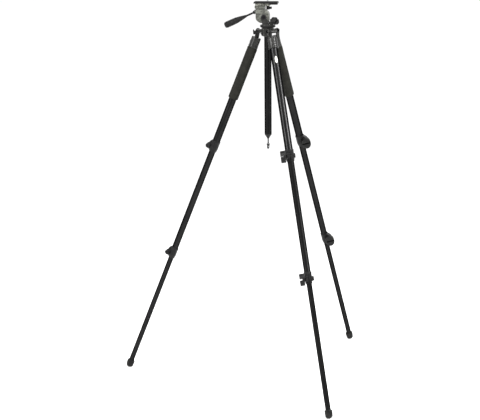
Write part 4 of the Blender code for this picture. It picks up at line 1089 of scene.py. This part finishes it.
# %% [markdown]
# ## The plate and its tray
# The tray on the tilting body has two undercut rails. The camera plate slides between them on a dovetail,
# and a lever under the tray locks it. A ribbed rubber pad and a screw on the plate hold the camera.

# %% Tray
RECEIVER_BACK, RECEIVER_FRONT = -0.0330, 0.0225
RECEIVER_WIDTH = 0.0460
RAIL_HEIGHT, RAIL_WIDTH = 0.0050, 0.0050
receiver_low = BODY_HIGH + GAP
floor_top = receiver_low + 0.0035
rail_top = floor_top + RAIL_HEIGHT
half = RECEIVER_WIDTH / 2
rail_inside = half - RAIL_WIDTH
DOVETAIL_LEAN = 0.0020
PIN_X, PIN_R = 0.0143, 0.0030


def tray():
    outline = [(-half, receiver_low), (half, receiver_low), (half, rail_top),
               (rail_inside - DOVETAIL_LEAN, rail_top), (rail_inside, floor_top), (-rail_inside, floor_top),
               (-rail_inside + DOVETAIL_LEAN, rail_top), (-half, rail_top)]
    made = slab(outline, "X", RECEIVER_BACK, RECEIVER_FRONT, 0.0006)
    grooves = [brick((RECEIVER_BACK - 0.01, side * half - 0.0004, receiver_low + 0.0038),
                     (RECEIVER_FRONT + 0.01, side * half + 0.0004, receiver_low + 0.0048), 0) for side in (-1, 1)]
    pin_hole = bar((PIN_X, 0, receiver_low - 0.001), (PIN_X, 0, receiver_low + 0.0028), PIN_R + GAP, bevel=0)
    return cut(made, [pin_hole] + grooves)


# The tray takes the darker copy of the light casting, as painted shade.
fitted(tray(), "plate_tray_skin", "tilt", SHADED_TRAY_CASTING, ["plate_receiver"], tilt_axes)

# %% Plate lock
def plate_lock():
    high = receiver_low - GAP
    low = high - 0.0150
    hub = lathe(rounded_rings([(0.0040, low), (0.0064, low), (0.0064, high), (0.0040, high)], 0.0012), 64)
    pin = bar((0, 0, high - 0.001), (0, 0, receiver_low + 0.0025), PIN_R)
    outline = rounded_outline([(0.0020, -0.0050), (0.0110, -0.0044), (0.0150, -0.0028), (0.0150, 0.0028),
                               (0.0110, 0.0044), (0.0020, 0.0050)], 0.002)
    tab = slab(outline, "Z", low + 0.0022, high - 0.0037, 0.0012, 4)
    ridges = [brick((x, -0.006, high - 0.0041), (x + 0.0006, 0.006, high - 0.003), 0)
              for x in (0.0095, 0.0110, 0.0125)]
    return moved(joined([hub, pin, cut(tab, ridges)]), Matrix.Translation((PIN_X, 0, 0)))


fitted(plate_lock(), "plate_lock_lever_skin", "plate_lock", BLACK_PLASTIC,
       ["plate_lock_lever"], tilt_axes)

# %% Camera plate, pad and screw
PLATE_THICK, PAD_THICK = 0.0045, 0.0022
PLATE_FRONT = 0.0410 + TILT_BACK
PLATE_BACK = PLATE_FRONT - 0.0935
SCREW_X, SCREW_R, SCREW_HEAD_R, HEAD_DEEP = TILT_BACK, 0.0032, 0.0075, 0.0030
THREAD_PITCH = 0.00127        # twenty threads to the inch
FOOT_DEEP = 0.0042
plate_low = rail_top + GAP
plate_top = plate_low + PLATE_THICK
foot_low = rail_top - FOOT_DEEP


def plate_outline(inset, corner):
    x_low, x_high, y_half = PLATE_BACK + inset, PLATE_FRONT - inset, half + 0.0005 - inset
    corners = [(x_low, -y_half), (x_high, -y_half), (x_high, y_half), (x_low, y_half)]
    return rounded_outline(corners, corner, 6)


def camera_plate():
    top = slab(plate_outline(0, 0.0015), "Z", plate_low, plate_top, 0.0008)
    lean = DOVETAIL_LEAN * FOOT_DEEP / RAIL_HEIGHT
    inside = rail_inside - 0.0005
    dovetail = slab([(-inside, foot_low), (inside, foot_low), (inside - lean, plate_low - GAP),
                     (inside - lean, plate_low + 0.0012), (-inside + lean, plate_low + 0.0012),
                     (-inside + lean, plate_low - GAP)],
                    "X", PLATE_BACK + 0.006, PLATE_FRONT - 0.002, 0.0003)
    with_modifier(top, "BOOLEAN", object=dovetail, operation="UNION", solver="MANIFOLD")
    bpy.data.objects.remove(dovetail)
    pocket_top = foot_low + HEAD_DEEP + 2 * GAP
    return cut(top, [bar((SCREW_X, 0, foot_low - 0.001), (SCREW_X, 0, pocket_top), SCREW_HEAD_R + GAP, 48, bevel=0),
                     bar((SCREW_X, 0, foot_low), (SCREW_X, 0, plate_top + 0.001), SCREW_R + GAP, bevel=0)])


def pad():
    low = plate_top + GAP
    high = low + PAD_THICK
    made = slab(plate_outline(0.0015, 0.0030), "Z", low, high, 0.0005)
    grooves = []
    x = PLATE_BACK + 0.006
    while x < PLATE_FRONT - 0.006:
        grooves.append(brick((x, -half + 0.004, high - 0.0005), (x + 0.0010, half - 0.004, high + 0.001), 0))
        x += 0.0032
    screw_hole = bar((SCREW_X, 0, low - 0.001), (SCREW_X, 0, high + 0.003), SCREW_R + GAP, bevel=0)
    return cut(made, grooves + [screw_hole])


def camera_screw():
    low = foot_low + GAP
    top = plate_top + GAP + PAD_THICK + 0.0050
    rings = [(0.003, low), (SCREW_HEAD_R - 0.0006, low), (SCREW_HEAD_R, low + 0.0006),
             (SCREW_HEAD_R, low + HEAD_DEEP), (SCREW_R - 0.0004, low + HEAD_DEEP)]
    z = low + HEAD_DEEP + 0.0010
    while z < top - 0.0014:
        rings += [(SCREW_R - 0.0005, z), (SCREW_R, z + 0.0005), (SCREW_R, z + 0.0007)]
        z += THREAD_PITCH
    rings += [(SCREW_R - 0.0005, top - 0.0006), (SCREW_R - 0.0012, top)]
    body = lathe(rings, 48)
    slot = brick((-0.01, -0.0007, low - 0.001), (0.01, 0.0007, low + 0.0014), 0)
    return moved(cut(body, [slot]), Matrix.Translation((SCREW_X, 0, 0)))


fitted(camera_plate(), "camera_plate_skin", "plate", BLACK_PLASTIC,
       ["camera_plate"], tilt_axes)
fitted(pad(), "plate_pad_skin", "plate", RUBBER, ["plate_pad"], tilt_axes)
fitted(camera_screw(), "camera_screw_skin", "plate_screw", STEEL, ["camera_screw"], tilt_axes)

# %% [markdown]
# ## Floor, light and camera
# A wide pale floor under a white sky. Soft lights stand left and right of the camera, so that each glossy
# tube shows a narrow streak and a broad one. They hang high, so the streaks fade towards the feet.

# %% Floor and sky
bpy.ops.object.select_all(action="DESELECT")
bpy.ops.mesh.primitive_grid_add(x_subdivisions=8, y_subdivisions=8, size=60, location=(0, 0, 0))
floor = bpy.context.object
floor.name = "floor"
pale = bpy.data.materials.new("pale_floor")
pale.use_nodes = True
pale.node_tree.nodes["Principled BSDF"].inputs["Base Color"].default_value = (0.96, 0.96, 0.96, 1)
pale.node_tree.nodes["Principled BSDF"].inputs["Roughness"].default_value = 0.9
floor.data.materials.append(pale)

sky = bpy.data.worlds.new("sky")
bpy.context.scene.world = sky
sky.use_nodes = True
sky.node_tree.nodes["Background"].inputs["Color"].default_value = (1, 1, 1, 1)
sky.node_tree.nodes["Background"].inputs["Strength"].default_value = 1.06
bpy.context.scene.view_settings.view_transform = "Standard"

# %% Lights
def soft_light(name, place, target, width, height, power):
    bpy.ops.object.light_add(type="AREA", location=place)
    lamp = bpy.context.object
    lamp.name = name
    lamp.data.shape = "RECTANGLE"
    lamp.data.size, lamp.data.size_y = width, height
    lamp.data.energy = power
    lamp.rotation_euler = (Vector(target) - Vector(place)).to_track_quat("-Z", "Y").to_euler()


middle = (column_at.x, 0, 0.9)
soft_light("left_strip", (-2.5, -2.8, 2.7), middle, 0.6, 1.7, 150)
soft_light("right_box", (3.5, -1.7, 3.1), middle, 1.0, 1.3, 260)
soft_light("above", (0.4, -1.8, 3.6), middle, 1.0, 1.0, 60)

# %% [markdown]
# ## Camera
# The camera stands five and a half metres back, a little to the right and above the head, looking down.

# %% Camera
right = Vector((0.98856, 0.15062, -0.00805))
up = Vector((-0.02377, 0.20828, 0.97778))
ahead = Vector((-0.14895, 0.96640, -0.20948))
bpy.ops.object.camera_add(location=(0, 0, 0))
camera = bpy.context.object
camera.name = "camera"
camera.matrix_world = axes_at(Vector((column_at.x + 0.73656, -5.52221, 1.87002)), right, up, -ahead)
camera.data.sensor_width = 36
camera.data.lens = 107.4
bpy.context.scene.camera = camera
